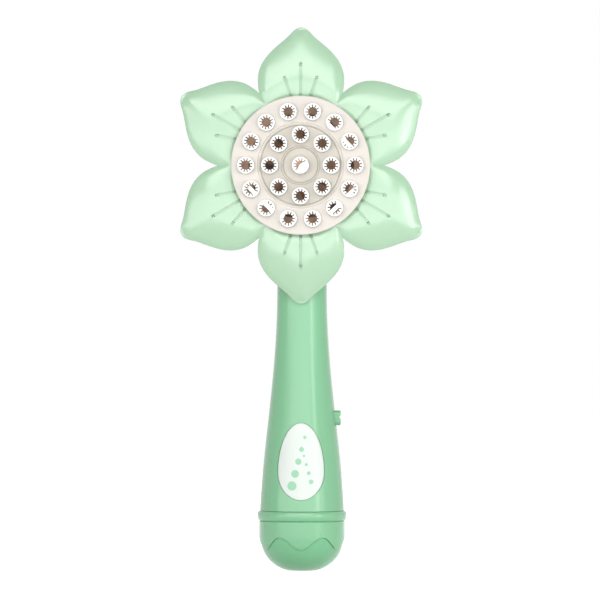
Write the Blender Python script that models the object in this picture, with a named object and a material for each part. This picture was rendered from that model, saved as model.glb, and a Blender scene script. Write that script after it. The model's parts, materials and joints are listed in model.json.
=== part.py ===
"""Hand-held flower bubble machine.

Metres, +Z up, front towards -Y. The origin is the centre of the flat foot,
on the handle's axis. The head's pieces hang on an empty, head_axis, whose
local +Z is the head's axis and points out of the front, so their heights
there are depths in front of the handle's axis.
"""

import math

import bmesh
import bpy
from mathutils import Matrix, Vector

MM = 0.001
GAP = 0.3 * MM
WELD = 0.001 * MM
FULL_TURN = 2 * math.pi

# Handle: an S-shaped outline from the bead up to the neck
HANDLE_LOW = (37.8 * MM, 26.6 * MM)
HANDLE_LOW_PULL = (83.7 * MM, 24.3 * MM)
HANDLE_HIGH_PULL = (125.2 * MM, 15.3 * MM)
HANDLE_HIGH = (180.0 * MM, 15.6 * MM)
NECK_TOP = 226.0 * MM
NECK_FLARE = 1.9 * MM
HANDLE_SEGMENTS = 24
HANDLE_RINGS = 8
WALL = 2.4 * MM
SPIGOT_BOTTOM = 30.6 * MM
SPIGOT_RADIUS = 25.2 * MM
SEAM_GAP = 0.3 * MM

# Foot: dome, bead ring and wavy skirt
FOOT_FLAT_RADIUS = 8.0 * MM
DOME_RADIUS = 26.0 * MM
DOME_HEIGHT = 21.8 * MM
CAP_NECK_RADIUS = 24.6 * MM
CAP_TOP = 30.2 * MM
CAP_WALL = 2.0 * MM
CAP_SEGMENTS = 24
SKIRT_LIFT = 1.1 * MM
BEAD_RADIUS = 28.15 * MM
BEAD_LOW = 31.7 * MM
BEAD_HIGH = 37.5 * MM
WAVES = 6
WAVE_MID = 17.5 * MM
WAVE_HEIGHT = 3.8 * MM
WAVE_STEPS = 6

# Head: depths are measured forwards from the handle's axis
HEAD_HEIGHT = 254.4 * MM
DRUM_RADIUS = 43.6 * MM
DRUM_FRONT = 18.6 * MM
DRUM_BACK = -22.0 * MM
DRUM_CORNER = 14.0 * MM
DRUM_BORE = 40.2 * MM
DRUM_RECESS = 41.6 * MM
DRUM_LEDGE = 15.5 * MM
DRUM_SEGMENTS = 32
SLOT_PITCH = 5.4 * MM
INTAKE_WIDTH = 2.4 * MM
INTAKE_REACH = 21.0 * MM
INTAKE_PAIRS = 3

# Flower
PETALS = 6
PETAL_TIP = (86.6 * MM, 0.0)
PETAL_TIP_PULLS = ((86.6 * MM, 2.6 * MM), (85.0 * MM, 4.4 * MM))
PETAL_SHOULDER = (82.6 * MM, 6.6 * MM)
PETAL_FLANK_PULLS = ((76.2 * MM, 11.9 * MM), (69.5 * MM, 26.3 * MM))
PETAL_SIDE = (54.5 * MM, 27.1 * MM)
PETAL_NOTCH = (45.3 * MM, 26.15 * MM)
PETAL_TIP_STEPS = 2
PETAL_FLANK_STEPS = 4
COLLAR_BORE = 41.0 * MM
COLLAR_RADIUS = 43.8 * MM
COLLAR_FRONT = 26.2 * MM
NOTCH_DEPTH = 23.6 * MM
TIP_DEPTH = 18.6 * MM
PETAL_CROWN = 5.2 * MM
PETAL_WALL = 2.2 * MM
PETAL_EDGE = 1.4 * MM
RIM_BAND = 3.4 * MM
PETAL_FRACTIONS = (0.28, 0.52, 0.80)
VEIN_RADIUS = 0.95 * MM
VEIN_SINK = 0.1 * MM
VEIN_STEPS = 3
VEIN_SIDES = 4
VEIN_CENTRE = ((44.4 * MM, 0.0), (64.2 * MM, 0.0))
VEIN_SIDE = ((44.0 * MM, 6.3 * MM), (55.7 * MM, 10.35 * MM))

# Face plate with its two steps, and the toothed nozzles
PLATE_RADIUS = 43.5 * MM
PLATE_REAR = 26.7 * MM
PLATE_BACK = 28.5 * MM
PLATE_OUTER_FACE = 31.4 * MM
PLATE_MIDDLE_FACE = 30.6 * MM
PLATE_INNER_FACE = 29.8 * MM
STEP_OUTER = (24.9 * MM, 26.7 * MM)
STEP_INNER = (10.8 * MM, 12.2 * MM)
PLATE_SEGMENTS = 32
NOZZLE_RADIUS = 5.35 * MM
NOZZLE_BORE = 2.85 * MM
NOZZLE_FRONT = 35.6 * MM
NOZZLE_SIDES = 12
TOOTH_SLOTS = 12
TOOTH_SLOT_WIDTH = 0.72 * MM
TOOTH_SLOT_END = 4.5 * MM
NOZZLE_RINGS = ((0.0, 1), (19.2 * MM, 8), (34.2 * MM, 14))
CARRIER_RADIUS = 40.6 * MM
CARRIER_FRONT = 28.2 * MM
CARRIER_BACK = 26.2 * MM
SEAL_RADII = (37.6 * MM, 40.4 * MM)
SEAL_DEPTHS = (24.6 * MM, 25.9 * MM)

# Air chamber, motor spider, motor and impeller
CHAMBER_FRONT = 24.3 * MM
CHAMBER_BACK = -14.4 * MM
CHAMBER_MOUTH = 39.2 * MM
CHAMBER_THROAT = 34.6 * MM
CHAMBER_WALL = 1.4 * MM
CHAMBER_FLANGE = 41.3 * MM
CHAMBER_INLET = 24.0 * MM
CHAMBER_SEGMENTS = 24
HUB_RADIUS = 12.0 * MM
HUB_BORE = 10.6 * MM
HUB_FRONT = 23.8 * MM
HUB_FLOOR = 21.8 * MM
HUB_BACK = 15.0 * MM
HUB_WINDOW = 8.6 * MM
FINGER_TIP = (3.2 * MM, -2.9 * MM)
FINGER_HALF = 5.2 * MM
FINGER_ANGLE = 315
ARM_HALF = 2.6 * MM
ARM_ANGLES = (67.5, 112.5, 247.5, 292.5)
ARM_FRONT = 23.4 * MM
ARM_BACK = 21.0 * MM
SPIDER_RADIUS = 37.0 * MM
BAR_HALF = 1.25 * MM
BAR_REACH = 14.0 * MM
SPIDER_BARS = ((45, 30.4 * MM), (225, 32.7 * MM), (315, 34.2 * MM))
MOTOR_RADIUS = 10.0 * MM
MOTOR_FLAT = 7.7 * MM
MOTOR_FRONT = 18.2 * MM
END_CAP_FRONT = 21.4 * MM
MOTOR_BOSS_RADIUS = 3.1 * MM
MOTOR_BOSS_BACK = -1.2 * MM
SHAFT_RADIUS = 1.0 * MM
SHAFT_FRONT = 4.0 * MM
SHAFT_BACK = -11.6 * MM
FAN_FRONT = -1.8 * MM
FAN_BACK = -10.6 * MM
FAN_HUB = 5.5 * MM
FAN_RADIUS = 30.0 * MM
FAN_BLADES = 7
BLADE_WALL = 1.2 * MM

# Battery bay and cells
CELL_RADIUS = 7.25 * MM
CELL_LENGTH = 50.5 * MM
CELL_NUB = 1.2 * MM
CELL_CIRCLE = 8.7 * MM
CELL_LOW = 37.0 * MM
SPRING_SPACE = 2.3 * MM
PLATE_THICKNESS = 0.4 * MM
BAY_RADIUS = 17.8 * MM
BAY_WALL = 1.2 * MM
BAY_FLOOR = 1.5 * MM
BAY_LOW = 34.5 * MM
BAY_HIGH = 92.2 * MM
BAY_FLANGE = 21.7 * MM
DOOR_HALF_WIDTH = 12.5 * MM
DOOR_LOW = 40.8 * MM
DOOR_HIGH = 98.0 * MM
DOOR_SCREW_HEIGHT = 93.6 * MM

# Power button and its switch
BUTTON_HEIGHT = 96.0 * MM
BUTTON_HALF = 4.7 * MM
BUTTON_CORNER = 2.0 * MM
BUTTON_FLANGE = 5.8 * MM
BUTTON_BACK = 15.5 * MM
BUTTON_FLANGE_FACE = 16.7 * MM
BUTTON_FACE = 24.4 * MM
BUTTON_TRAVEL = 1.5 * MM
GROOVE_DEPTH = 0.7 * MM
GROOVE_HEIGHT = 1.3 * MM
PLUNGER_RADIUS = 1.6 * MM
PLUNGER_BACK = 11.4 * MM
SWITCH_FACE = 13.2 * MM
SWITCH_BACK = 7.8 * MM
SWITCH_HALF = 4.0 * MM
BOARD_BACK = 5.9 * MM
BOARD_FACE = 7.5 * MM
BOARD_TOP = 110.0 * MM
LEAD_HOLE_RADIUS = 1.2 * MM
LEAD_HOLE_LEFT = (-5.8 * MM, -4.0 * MM)
LEAD_HOLE_RIGHT = (3.2 * MM, -7.5 * MM)

# Egg-shaped label, set into the handle's front
LABEL_HALF_WIDTH = 14.75 * MM
LABEL_MIDDLE = 62.4 * MM
LABEL_BELOW = 17.7 * MM
LABEL_ABOVE = 30.9 * MM
LABEL_RECESS = 1.5 * MM
LABEL_SINK = 0.4 * MM
LABEL_WALL = 0.8 * MM
LABEL_POINTS = 20

# Housing screws: bosses in the head drum and in the handle
HEAD_SCREW_CIRCLE = 38.3 * MM
HEAD_SCREW_ANGLES = (40, 140, 220, 320)
HANDLE_SCREW_HEIGHTS = (112.0 * MM, 165.0 * MM)
BOSS_RADIUS = 3.1 * MM
SCREW_SHANK = 1.0 * MM
SCREW_HEAD = 2.0 * MM
SCREW_HEAD_SEAT = 12.0 * MM
HANDLE_SCREW_SEAT = 9.0 * MM
SCREW_HEAD_TALL = 1.6 * MM
SCREW_TIP = 9.0 * MM
BOSS_SIDES = 8
BORE_SIDES = 6
SCREW_SIDES = 6

MINT = (0.42, 0.72, 0.52)
MINT_PALE = (0.56, 0.85, 0.66)
MINT_DARK = (0.30, 0.58, 0.40)
BEIGE = (0.66, 0.62, 0.56)
WHITE = (0.90, 0.90, 0.88)
BROWN = (0.30, 0.19, 0.12)
BLACK = (0.12, 0.12, 0.13)
RED = (0.6, 0.05, 0.04)
STEEL = (0.62, 0.62, 0.62)


def clear_scene():
    """Remove whatever the file opened with."""
    for item in list(bpy.data.objects):
        bpy.data.objects.remove(item, do_unlink=True)


def finish(name, colour, roughness=0.4, metallic=0.0):
    """Give one sub-part its own Principled material."""
    material = bpy.data.materials.new(name)
    material.use_nodes = True
    shader = material.node_tree.nodes["Principled BSDF"]
    shader.inputs["Base Color"].default_value = (*colour, 1.0)
    shader.inputs["Roughness"].default_value = roughness
    shader.inputs["Metallic"].default_value = metallic
    return material


def place(item, parent=None):
    """Link an object to the scene, under an empty if it has one."""
    bpy.context.collection.objects.link(item)
    item.parent = parent
    return item


def from_bmesh(name, bm, parent=None):
    """Turn a bmesh into a clean object with outward faces."""
    bmesh.ops.remove_doubles(bm, verts=bm.verts[:], dist=WELD)
    bmesh.ops.recalc_face_normals(bm, faces=bm.faces[:])
    mesh = bpy.data.meshes.new(name)
    bm.to_mesh(mesh)
    bm.free()
    return place(bpy.data.objects.new(name, mesh), parent)


def dress(item, colour, roughness=0.4, metallic=0.0, smooth=40):
    """Simplify a finished sub-part, give it its finish and shade it smooth."""
    simplify(item)
    item.data.materials.clear()
    item.data.materials.append(finish(item.name, colour, roughness, metallic))
    item.data.shade_smooth()
    item.data.set_sharp_from_angle(angle=math.radians(smooth))
    return item


def boolean(target, tool, operation="DIFFERENCE"):
    """Cut, join or intersect a target with a tool, and apply the result."""
    modifier = target.modifiers.new(operation.lower(), "BOOLEAN")
    modifier.operation = operation
    modifier.object = tool
    modifier.solver = "EXACT"
    depsgraph = bpy.context.evaluated_depsgraph_get()
    result = bpy.data.meshes.new_from_object(target.evaluated_get(depsgraph))
    target.modifiers.clear()
    target.data = result
    bpy.data.objects.remove(tool, do_unlink=True)
    return target


def simplify(item):
    """Weld what a cut left double and dissolve the edges inside flat faces."""
    bm = bmesh.new()
    bm.from_mesh(item.data)
    bmesh.ops.remove_doubles(bm, verts=bm.verts[:], dist=2 * WELD)
    bmesh.ops.dissolve_degenerate(bm, dist=WELD, edges=bm.edges[:])
    bmesh.ops.dissolve_limit(bm, angle_limit=math.radians(0.3), verts=bm.verts[:],
                             edges=bm.edges[:])
    bm.to_mesh(item.data)
    bm.free()
    return item


def turned(bm, profile, segments):
    """Turn a (radius, height) outline about Z.

    An outline that starts on the axis ends there too; any other is closed.
    """
    verts = [bm.verts.new((radius, 0.0, height)) for radius, height in profile]
    edges = [bm.edges.new(pair) for pair in zip(verts, verts[1:])]
    if profile[0][0] > 0:
        edges.append(bm.edges.new((verts[-1], verts[0])))
    bmesh.ops.spin(bm, geom=verts + edges, cent=(0, 0, 0), axis=(0, 0, 1),
                   dvec=(0, 0, 0), angle=FULL_TURN, steps=segments, use_merge=True)


def turned_object(name, profile, segments, parent=None):
    """A turned solid as an object of its own."""
    bm = bmesh.new()
    turned(bm, profile, segments)
    return from_bmesh(name, bm, parent)


def prism(bm, outline, low, high, turn=None):
    """Extrude a flat (x, y) outline along Z, then place it with a matrix."""
    verts = [bm.verts.new((x, y, low)) for x, y in outline]
    face = bm.faces.new(verts)
    grown = bmesh.ops.extrude_face_region(bm, geom=[face])["geom"]
    raised = [item for item in grown if isinstance(item, bmesh.types.BMVert)]
    bmesh.ops.translate(bm, verts=raised, vec=(0, 0, high - low))
    if turn:
        bmesh.ops.transform(bm, matrix=turn, verts=verts + raised)


def prism_object(name, outline, low, high, parent=None, turn=None):
    """A prism as an object of its own."""
    bm = bmesh.new()
    prism(bm, outline, low, high, turn)
    return from_bmesh(name, bm, parent)


def circle(radius, sides, centre=(0.0, 0.0), start=0.0):
    """Corner points of a regular polygon."""
    angles = [start + FULL_TURN * step / sides for step in range(sides)]
    return [(centre[0] + radius * math.cos(a), centre[1] + radius * math.sin(a)) for a in angles]


def box(low, high, name="box", parent=None):
    """A box between two corners."""
    outline = [(low[0], low[1]), (high[0], low[1]), (high[0], high[1]), (low[0], high[1])]
    return prism_object(name, outline, low[2], high[2], parent)


def along_y(x, z):
    """Matrix that lays a prism's Z along world +Y, through a given x and z."""
    return Matrix.Translation((x, 0, z)) @ Matrix.Rotation(-math.pi / 2, 4, "X")


def along_x(y, z):
    """Matrix that lays a prism's Z along world +X, with its X along +Y."""
    turn = Matrix(((0, 0, 1, 0), (1, 0, 0, 0), (0, 1, 0, 0), (0, 0, 0, 1)))
    return Matrix.Translation((0, y, z)) @ turn


def skin(bm, rings, cyclic):
    """Join matching rings of points with faces, as a loft."""
    loops = [[bm.verts.new(point) for point in ring] for ring in rings]
    pairs = list(zip(loops, loops[1:]))
    if cyclic:
        pairs.append((loops[-1], loops[0]))
    for first, second in pairs:
        for index in range(len(first)):
            after = (index + 1) % len(first)
            bm.faces.new((first[index], first[after], second[after], second[index]))
    return loops


def bezier(start, pull_a, pull_b, end, part):
    """Point on a cubic Bezier curve at a fraction of its span."""
    rest = 1 - part
    weights = (rest ** 3, 3 * rest ** 2 * part, 3 * rest * part ** 2, part ** 3)
    points = (start, pull_a, pull_b, end)
    return tuple(sum(w * p[axis] for w, p in zip(weights, points)) for axis in range(2))


def polar(radius, degrees):
    """Point at a radius and an angle."""
    angle = math.radians(degrees)
    return radius * math.cos(angle), radius * math.sin(angle)


# Handle and housing

def handle_outline():
    """(radius, height) from the bead up into the head drum."""
    ends = (HANDLE_LOW, HANDLE_LOW_PULL, HANDLE_HIGH_PULL, HANDLE_HIGH)
    steps = [bezier(*ends, step / HANDLE_RINGS) for step in range(HANDLE_RINGS + 1)]
    outline = [(radius, height) for height, radius in steps]
    outline.append((HANDLE_HIGH[1] + NECK_FLARE, NECK_TOP))
    return outline


def handle_radius(height):
    """Radius of the handle's outline at a height above the bead."""
    outline = handle_outline()
    for (low_r, low), (high_r, high) in zip(outline, outline[1:]):
        if low <= height <= high:
            return low_r + (high_r - low_r) * (height - low) / (high - low)
    raise ValueError("height is off the handle")


def housing_outer():
    """Solid handle with the spigot that the collar sits on."""
    outline = [(0, SPIGOT_BOTTOM), (SPIGOT_RADIUS, SPIGOT_BOTTOM), (SPIGOT_RADIUS, HANDLE_LOW[0])]
    outline += handle_outline() + [(0, NECK_TOP)]
    return turned_object("housing", outline, HANDLE_SEGMENTS)


def housing_inner():
    """Hollow of the handle, open at the spigot's foot."""
    below = SPIGOT_BOTTOM - WALL
    core = [(radius - WALL, height) for radius, height in handle_outline()]
    spigot = SPIGOT_RADIUS - WALL
    outline = [(0, below), (spigot, below), (spigot, HANDLE_LOW[0])] + core[1:-1:2]
    outline += [(core[-1][0], NECK_TOP - WALL), (0, NECK_TOP - WALL)]
    return turned_object("housing_inner", outline, HANDLE_SEGMENTS // 2)


def handle_skin(offset):
    """A solid of the handle's outline, grown or shrunk by an offset."""
    outline = [(radius + offset, height) for radius, height in handle_outline()]
    low, high = outline[0][1], outline[-1][1]
    return turned_object("handle_skin", [(0, low)] + outline + [(0, high)], HANDLE_SEGMENTS)


def drum_corner(radius, back, corner, steps=3):
    """Quarter round from the flat back to the drum's side."""
    centre = (radius - corner, back + corner)
    turns = [math.pi / 2 * step / steps for step in range(steps + 1)]
    return [(centre[0] + corner * math.sin(a), centre[1] - corner * math.cos(a)) for a in turns]


def drum_outer(head):
    """Solid drum of the head."""
    outline = [(0, DRUM_BACK)] + drum_corner(DRUM_RADIUS, DRUM_BACK, DRUM_CORNER)
    outline += [(DRUM_RADIUS, DRUM_FRONT), (0, DRUM_FRONT)]
    return turned_object("drum_outer", outline, DRUM_SEGMENTS, head)


def drum_inner(head):
    """Hollow of the drum, with the ledge that the air chamber sits on."""
    back = DRUM_BACK + WALL
    outline = [(0, back)] + drum_corner(DRUM_BORE, back, DRUM_CORNER - WALL, 2)
    outline += [(DRUM_BORE, DRUM_LEDGE), (DRUM_RECESS, DRUM_LEDGE)]
    outline += [(DRUM_RECESS, DRUM_FRONT + WALL), (0, DRUM_FRONT + WALL)]
    return turned_object("drum_inner", outline, CHAMBER_SEGMENTS, head)


def head_screw_places():
    """Centres of the head's screws, in the head's plane."""
    return [polar(HEAD_SCREW_CIRCLE, degrees) for degrees in HEAD_SCREW_ANGLES]


def screw_bosses(head):
    """Posts that the housing screws run in, one tool for the whole housing."""
    bm = bmesh.new()
    for height in HANDLE_SCREW_HEIGHTS:
        reach = handle_radius(height) - WALL / 2
        prism(bm, circle(BOSS_RADIUS, BOSS_SIDES), -reach, reach, along_y(0, height))
    bosses = from_bmesh("handle_bosses", bm)
    bm = bmesh.new()
    for x, y in head_screw_places():
        prism(bm, circle(BOSS_RADIUS, BOSS_SIDES, (x, y)), DRUM_BACK + 2 * WALL,
              DRUM_LEDGE - 1.3 * MM)
    return bosses, from_bmesh("head_bosses", bm, head)


def screw_bores(head):
    """Counterbored holes from the rear, blind at the front."""
    bore = circle(SCREW_SHANK + GAP, BORE_SIDES)
    counterbore = circle(SCREW_HEAD + GAP, BOSS_SIDES)
    rear = 30 * MM
    bm = bmesh.new()
    for height in HANDLE_SCREW_HEIGHTS:
        prism(bm, counterbore, HANDLE_SCREW_SEAT, rear, along_y(0, height))
    wide = from_bmesh("handle_counterbores", bm)
    bm = bmesh.new()
    for height in HANDLE_SCREW_HEIGHTS:
        prism(bm, bore, -SCREW_TIP - GAP, rear, along_y(0, height))
    narrow = from_bmesh("handle_bores", bm)
    bm = bmesh.new()
    for x, y in head_screw_places():
        prism(bm, counterbore, -rear, -SCREW_HEAD_SEAT, Matrix.Translation((x, y, 0)))
    wide_head = from_bmesh("head_counterbores", bm, head)
    bm = bmesh.new()
    for x, y in head_screw_places():
        prism(bm, bore, -rear, SCREW_TIP + GAP, Matrix.Translation((x, y, 0)))
    narrow_head = from_bmesh("head_bores", bm, head)
    return wide, narrow, wide_head, narrow_head


def intake_slots(head):
    """Parallel round-ended slots in the drum's back, shorter towards the sides."""
    bm = bmesh.new()
    half = INTAKE_WIDTH / 2
    for column in range(-INTAKE_PAIRS, INTAKE_PAIRS + 1):
        x = column * SLOT_PITCH
        reach = math.sqrt(INTAKE_REACH ** 2 - x ** 2) - half
        top = [(x + half * math.cos(a), reach + half * math.sin(a))
               for a in (0, math.pi / 3, 2 * math.pi / 3, math.pi)]
        bottom = [(2 * x - px, -py) for px, py in top]
        prism(bm, top + bottom, DRUM_BACK - WALL, DRUM_BACK + 2 * WALL)
    return from_bmesh("intake_slots", bm, head)


def egg(shrink, segments=LABEL_POINTS):
    """Egg outline in (x, z): two half ellipses that meet at its widest line."""
    points = []
    for step in range(segments):
        angle = FULL_TURN * step / segments
        tall = LABEL_ABOVE if math.sin(angle) > 0 else LABEL_BELOW
        points.append(((LABEL_HALF_WIDTH - shrink) * math.cos(angle),
                       LABEL_MIDDLE + (tall - shrink) * math.sin(angle)))
    return points


def egg_block(shrink):
    """The egg as a block in front of the handle's axis."""
    outline = [(x, -z) for x, z in egg(shrink)]
    return prism_object("egg_block", outline, -40 * MM, -8 * MM, None, along_y(0, 0))


def rounded_square(half, corner=BUTTON_CORNER, steps=2):
    """Square outline with round corners."""
    points = []
    for quarter in range(4):
        for step in range(steps + 1):
            angle = math.pi / 2 * (quarter + step / steps)
            side_x = (half - corner) * (1 if quarter in (0, 3) else -1)
            side_y = (half - corner) * (1 if quarter in (0, 1) else -1)
            points.append((side_x + corner * math.cos(angle), side_y + corner * math.sin(angle)))
    return points


def build_housing(head):
    """Both housing halves and the battery door, cut from one hollow form."""
    form = boolean(housing_outer(), drum_outer(head), "UNION")
    hollow = boolean(housing_inner(), drum_inner(head), "UNION")
    boolean(form, hollow)
    handle_bosses, head_bosses = screw_bosses(head)
    boolean(form, handle_bosses, "UNION")
    boolean(form, head_bosses, "UNION")
    for tool in screw_bores(head):
        boolean(form, tool)
    boolean(form, intake_slots(head))
    recess = boolean(egg_block(0.0), handle_skin(-LABEL_RECESS))
    boolean(form, recess)
    window = prism_object("window", rounded_square(BUTTON_HALF + GAP), BUTTON_BACK, 30 * MM,
                          None, along_x(0, BUTTON_HEIGHT))
    boolean(form, window)
    front = form.copy()
    front.data = form.data.copy()
    front.name = "front_housing"
    place(front)
    edge = 120 * MM
    boolean(front, box((-edge, -edge, -edge), (edge, -SEAM_GAP / 2, 3 * edge)), "INTERSECT")
    form.name = "rear_housing"
    boolean(form, box((-edge, SEAM_GAP / 2, -edge), (edge, edge, 3 * edge)), "INTERSECT")
    door_way = box((-DOOR_HALF_WIDTH - GAP, 10 * MM, DOOR_LOW - GAP),
                   (DOOR_HALF_WIDTH + GAP, edge, DOOR_HIGH + GAP))
    boolean(form, door_way)
    dress(front, MINT, 0.35)
    dress(form, MINT, 0.35)


def build_battery_door():
    """Door panel with the handle's own curve, and a boss for its screw."""
    door = handle_skin(0.0)
    door.name = "battery_door"
    boolean(door, handle_skin(-WALL))
    boolean(door, box((-DOOR_HALF_WIDTH, 10 * MM, DOOR_LOW), (DOOR_HALF_WIDTH, 90 * MM, DOOR_HIGH)),
            "INTERSECT")
    boss = prism_object("door_boss", circle(3.6 * MM, 10), 18.1 * MM, 20.0 * MM, None,
                        along_y(0, DOOR_SCREW_HEIGHT))
    boolean(door, boss, "UNION")
    bore = prism_object("door_bore", circle(1.5 * MM, 8), 10 * MM, 30 * MM, None,
                        along_y(0, DOOR_SCREW_HEIGHT))
    boolean(door, bore)
    sink = prism_object("door_sink", circle(2.9 * MM, 12), 19.6 * MM, 30 * MM, None,
                        along_y(0, DOOR_SCREW_HEIGHT))
    boolean(door, sink)
    dress(door, MINT, 0.35)
    screw = turned_object("door_screw", [(0, 12.0 * MM), (1.1 * MM, 12.0 * MM),
                                         (1.1 * MM, 19.9 * MM), (2.5 * MM, 19.9 * MM),
                                         (2.2 * MM, 21.1 * MM), (0, 21.1 * MM)], 8)
    screw.data.transform(Matrix.Rotation(-math.pi / 2, 4, "X"))
    screw.location = (0, 0, DOOR_SCREW_HEIGHT)
    dress(screw, STEEL, 0.3, 1.0)


def build_housing_screws(head):
    """Six screws, driven in from the rear; depths run back to front."""
    shape = [(0, SCREW_TIP), (SCREW_SHANK, SCREW_TIP - 1 * MM)]
    places = [(head, (x, y, 0.0), SCREW_HEAD_SEAT) for x, y in head_screw_places()]
    places += [(head, (0.0, height - HEAD_HEIGHT, 0.0), HANDLE_SCREW_SEAT)
               for height in HANDLE_SCREW_HEIGHTS]
    for number, (parent, position, seat) in enumerate(places, 1):
        head_low = -seat - GAP
        head_high = head_low - SCREW_HEAD_TALL
        profile = shape + [(SCREW_SHANK, head_low), (SCREW_HEAD, head_low),
                           (SCREW_HEAD * 0.8, head_high), (0, head_high)]
        screw = turned_object(f"housing_screw_{number}", profile, SCREW_SIDES, parent)
        screw.location = position
        dress(screw, STEEL, 0.3, 1.0)


# Foot

def dome_radius(height):
    """Dome outline: a flattened quarter ellipse above the small flat."""
    part = min(height / DOME_HEIGHT, 1.0)
    bulge = (1 - (1 - part) ** 2.35) ** 0.62
    return FOOT_FLAT_RADIUS + (DOME_RADIUS - FOOT_FLAT_RADIUS) * bulge


def build_base_cap():
    """Domed foot, hollow, with a neck that the collar is pushed over."""
    heights = [DOME_HEIGHT * part for part in (0.0, 0.04, 0.14, 0.32, 0.62, 1.0)]
    outer = [(dome_radius(height), height) for height in heights]
    outer += [(CAP_NECK_RADIUS, DOME_HEIGHT), (CAP_NECK_RADIUS, CAP_TOP)]
    inner = [(CAP_NECK_RADIUS - CAP_WALL, CAP_TOP)]
    inner += [(dome_radius(height - CAP_WALL) - CAP_WALL, height)
              for height in (0.85 * DOME_HEIGHT, 0.3 * DOME_HEIGHT)]
    outline = [(0, 0)] + outer + inner + [(0, 0.3 * DOME_HEIGHT)]
    dress(turned_object("base_cap", outline, CAP_SEGMENTS), MINT_DARK, 0.35)


def ring(radius, height, segments):
    """One ring of a loft; the height may be a function of the angle."""
    points = []
    for step in range(segments):
        angle = FULL_TURN * step / segments - math.pi / 2
        level = height(angle) if callable(height) else height
        out = radius(level) if callable(radius) else radius
        points.append((out * math.cos(angle), out * math.sin(angle), level))
    return points


def wave_edge(angle):
    """Height of the skirt's edge: lowest at the front centre."""
    return WAVE_MID - WAVE_HEIGHT * math.cos(WAVES * (angle + math.pi / 2))


def build_base_collar():
    """Bead ring with a skirt whose lower edge runs in waves over the dome."""
    segments = WAVES * WAVE_STEPS
    shelf = DOME_HEIGHT + GAP
    inside = DOME_RADIUS + GAP

    def skirt_outer(height):
        return dome_radius(height) + SKIRT_LIFT

    def skirt_inner(height):
        return dome_radius(height) + GAP

    def half_way(angle):
        return (wave_edge(angle) + shelf) / 2

    rings = [ring(skirt_outer, wave_edge, segments), ring(skirt_outer, half_way, segments),
             ring(DOME_RADIUS + SKIRT_LIFT, BEAD_LOW, segments),
             ring(BEAD_RADIUS, BEAD_LOW + 1.7 * MM, segments),
             ring(BEAD_RADIUS, BEAD_HIGH - 1.7 * MM, segments),
             ring(HANDLE_LOW[1], BEAD_HIGH, segments),
             ring(SPIGOT_RADIUS + GAP, BEAD_HIGH, segments),
             ring(SPIGOT_RADIUS + GAP, CAP_TOP, segments),
             ring(CAP_NECK_RADIUS + GAP, CAP_TOP, segments),
             ring(CAP_NECK_RADIUS + GAP, shelf, segments),
             ring(inside, shelf - 0.05 * MM, segments), ring(skirt_inner, wave_edge, segments)]
    bm = bmesh.new()
    skin(bm, rings, cyclic=True)
    dress(from_bmesh("base_collar", bm), MINT, 0.35)


def build_label():
    """Thin egg-shaped plate that follows the handle's curve."""
    label = boolean(egg_block(GAP), handle_skin(-LABEL_SINK), "INTERSECT")
    label.name = "label_plate"
    boolean(label, handle_skin(-LABEL_SINK - LABEL_WALL))
    dress(label, WHITE, 0.3)


# Flower

def half_petal():
    """Outline of half a petal, from its blunt tip to the notch, as (along, across)."""
    tip = (PETAL_TIP, *PETAL_TIP_PULLS, PETAL_SHOULDER)
    flank = (PETAL_SHOULDER, *PETAL_FLANK_PULLS, PETAL_SIDE)
    points = [bezier(*tip, step / PETAL_TIP_STEPS) for step in range(PETAL_TIP_STEPS)]
    points += [bezier(*flank, step / PETAL_FLANK_STEPS) for step in range(PETAL_FLANK_STEPS + 1)]
    return points + [PETAL_NOTCH]


def flower_outline():
    """(angle, radius) all round, tip up first, each notch once."""
    half = [(math.atan2(across, along), math.hypot(along, across)) for along, across in half_petal()]
    mirrored = [(-angle, radius) for angle, radius in reversed(half[1:-1])]
    petal = mirrored + half
    columns = []
    for number in range(PETALS):
        middle = math.pi / 2 + FULL_TURN * number / PETALS
        columns += [(middle + angle, radius) for angle, radius in petal]
    return columns


def rim_depth(radius):
    """Depth of the petal's edge: it falls back from the notch to the tip."""
    notch = math.hypot(*PETAL_NOTCH)
    part = (radius - notch) / (PETAL_TIP[0] - notch)
    return NOTCH_DEPTH - (NOTCH_DEPTH - TIP_DEPTH) * max(part, 0.0) ** 0.8


def pillow(radius, inward):
    """Depth of the petal's front at a fraction inward from edge to collar."""
    notch = math.hypot(*PETAL_NOTCH)
    crown = PETAL_CROWN * min(1.0, ((radius - notch) / (PETAL_TIP[0] - notch)) ** 0.6 + 0.02)
    swell = crown * math.sin(math.pi * inward ** 0.7)
    return rim_depth(radius) + (COLLAR_FRONT - rim_depth(radius)) * inward + swell


def petal_point(angle, edge, inward, sink=0.0):
    """Point on the petal's front, or behind it by a distance."""
    radius = edge + (COLLAR_RADIUS - edge) * inward
    depth = pillow(edge, inward) - sink
    return radius * math.cos(angle), radius * math.sin(angle), depth


def flower_ring(columns, inward, sink=0.0):
    """Ring of points at one fraction inward, or at the rim band's edge."""
    points = []
    for angle, edge in columns:
        part = inward
        if inward == "band":
            part = min(RIM_BAND / (edge - COLLAR_RADIUS), PETAL_FRACTIONS[0] * 0.6)
        points.append(petal_point(angle, edge, part, sink))
    return points


def plain_ring(columns, radius, depth):
    """Round ring on the collar."""
    return [(radius * math.cos(angle), radius * math.sin(angle), depth) for angle, _ in columns]


def vein_tool(head):
    """Three round-ended grooves on each petal, pressed into its front."""
    bm = bmesh.new()
    side_mirrored = tuple((along, -across) for along, across in VEIN_SIDE)
    columns = half_petal()
    for number in range(PETALS):
        middle = math.pi / 2 + FULL_TURN * number / PETALS
        for start, end in (VEIN_CENTRE, VEIN_SIDE, side_mirrored):
            groove(bm, start, end, middle, columns)
    return from_bmesh("veins", bm, head)


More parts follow.
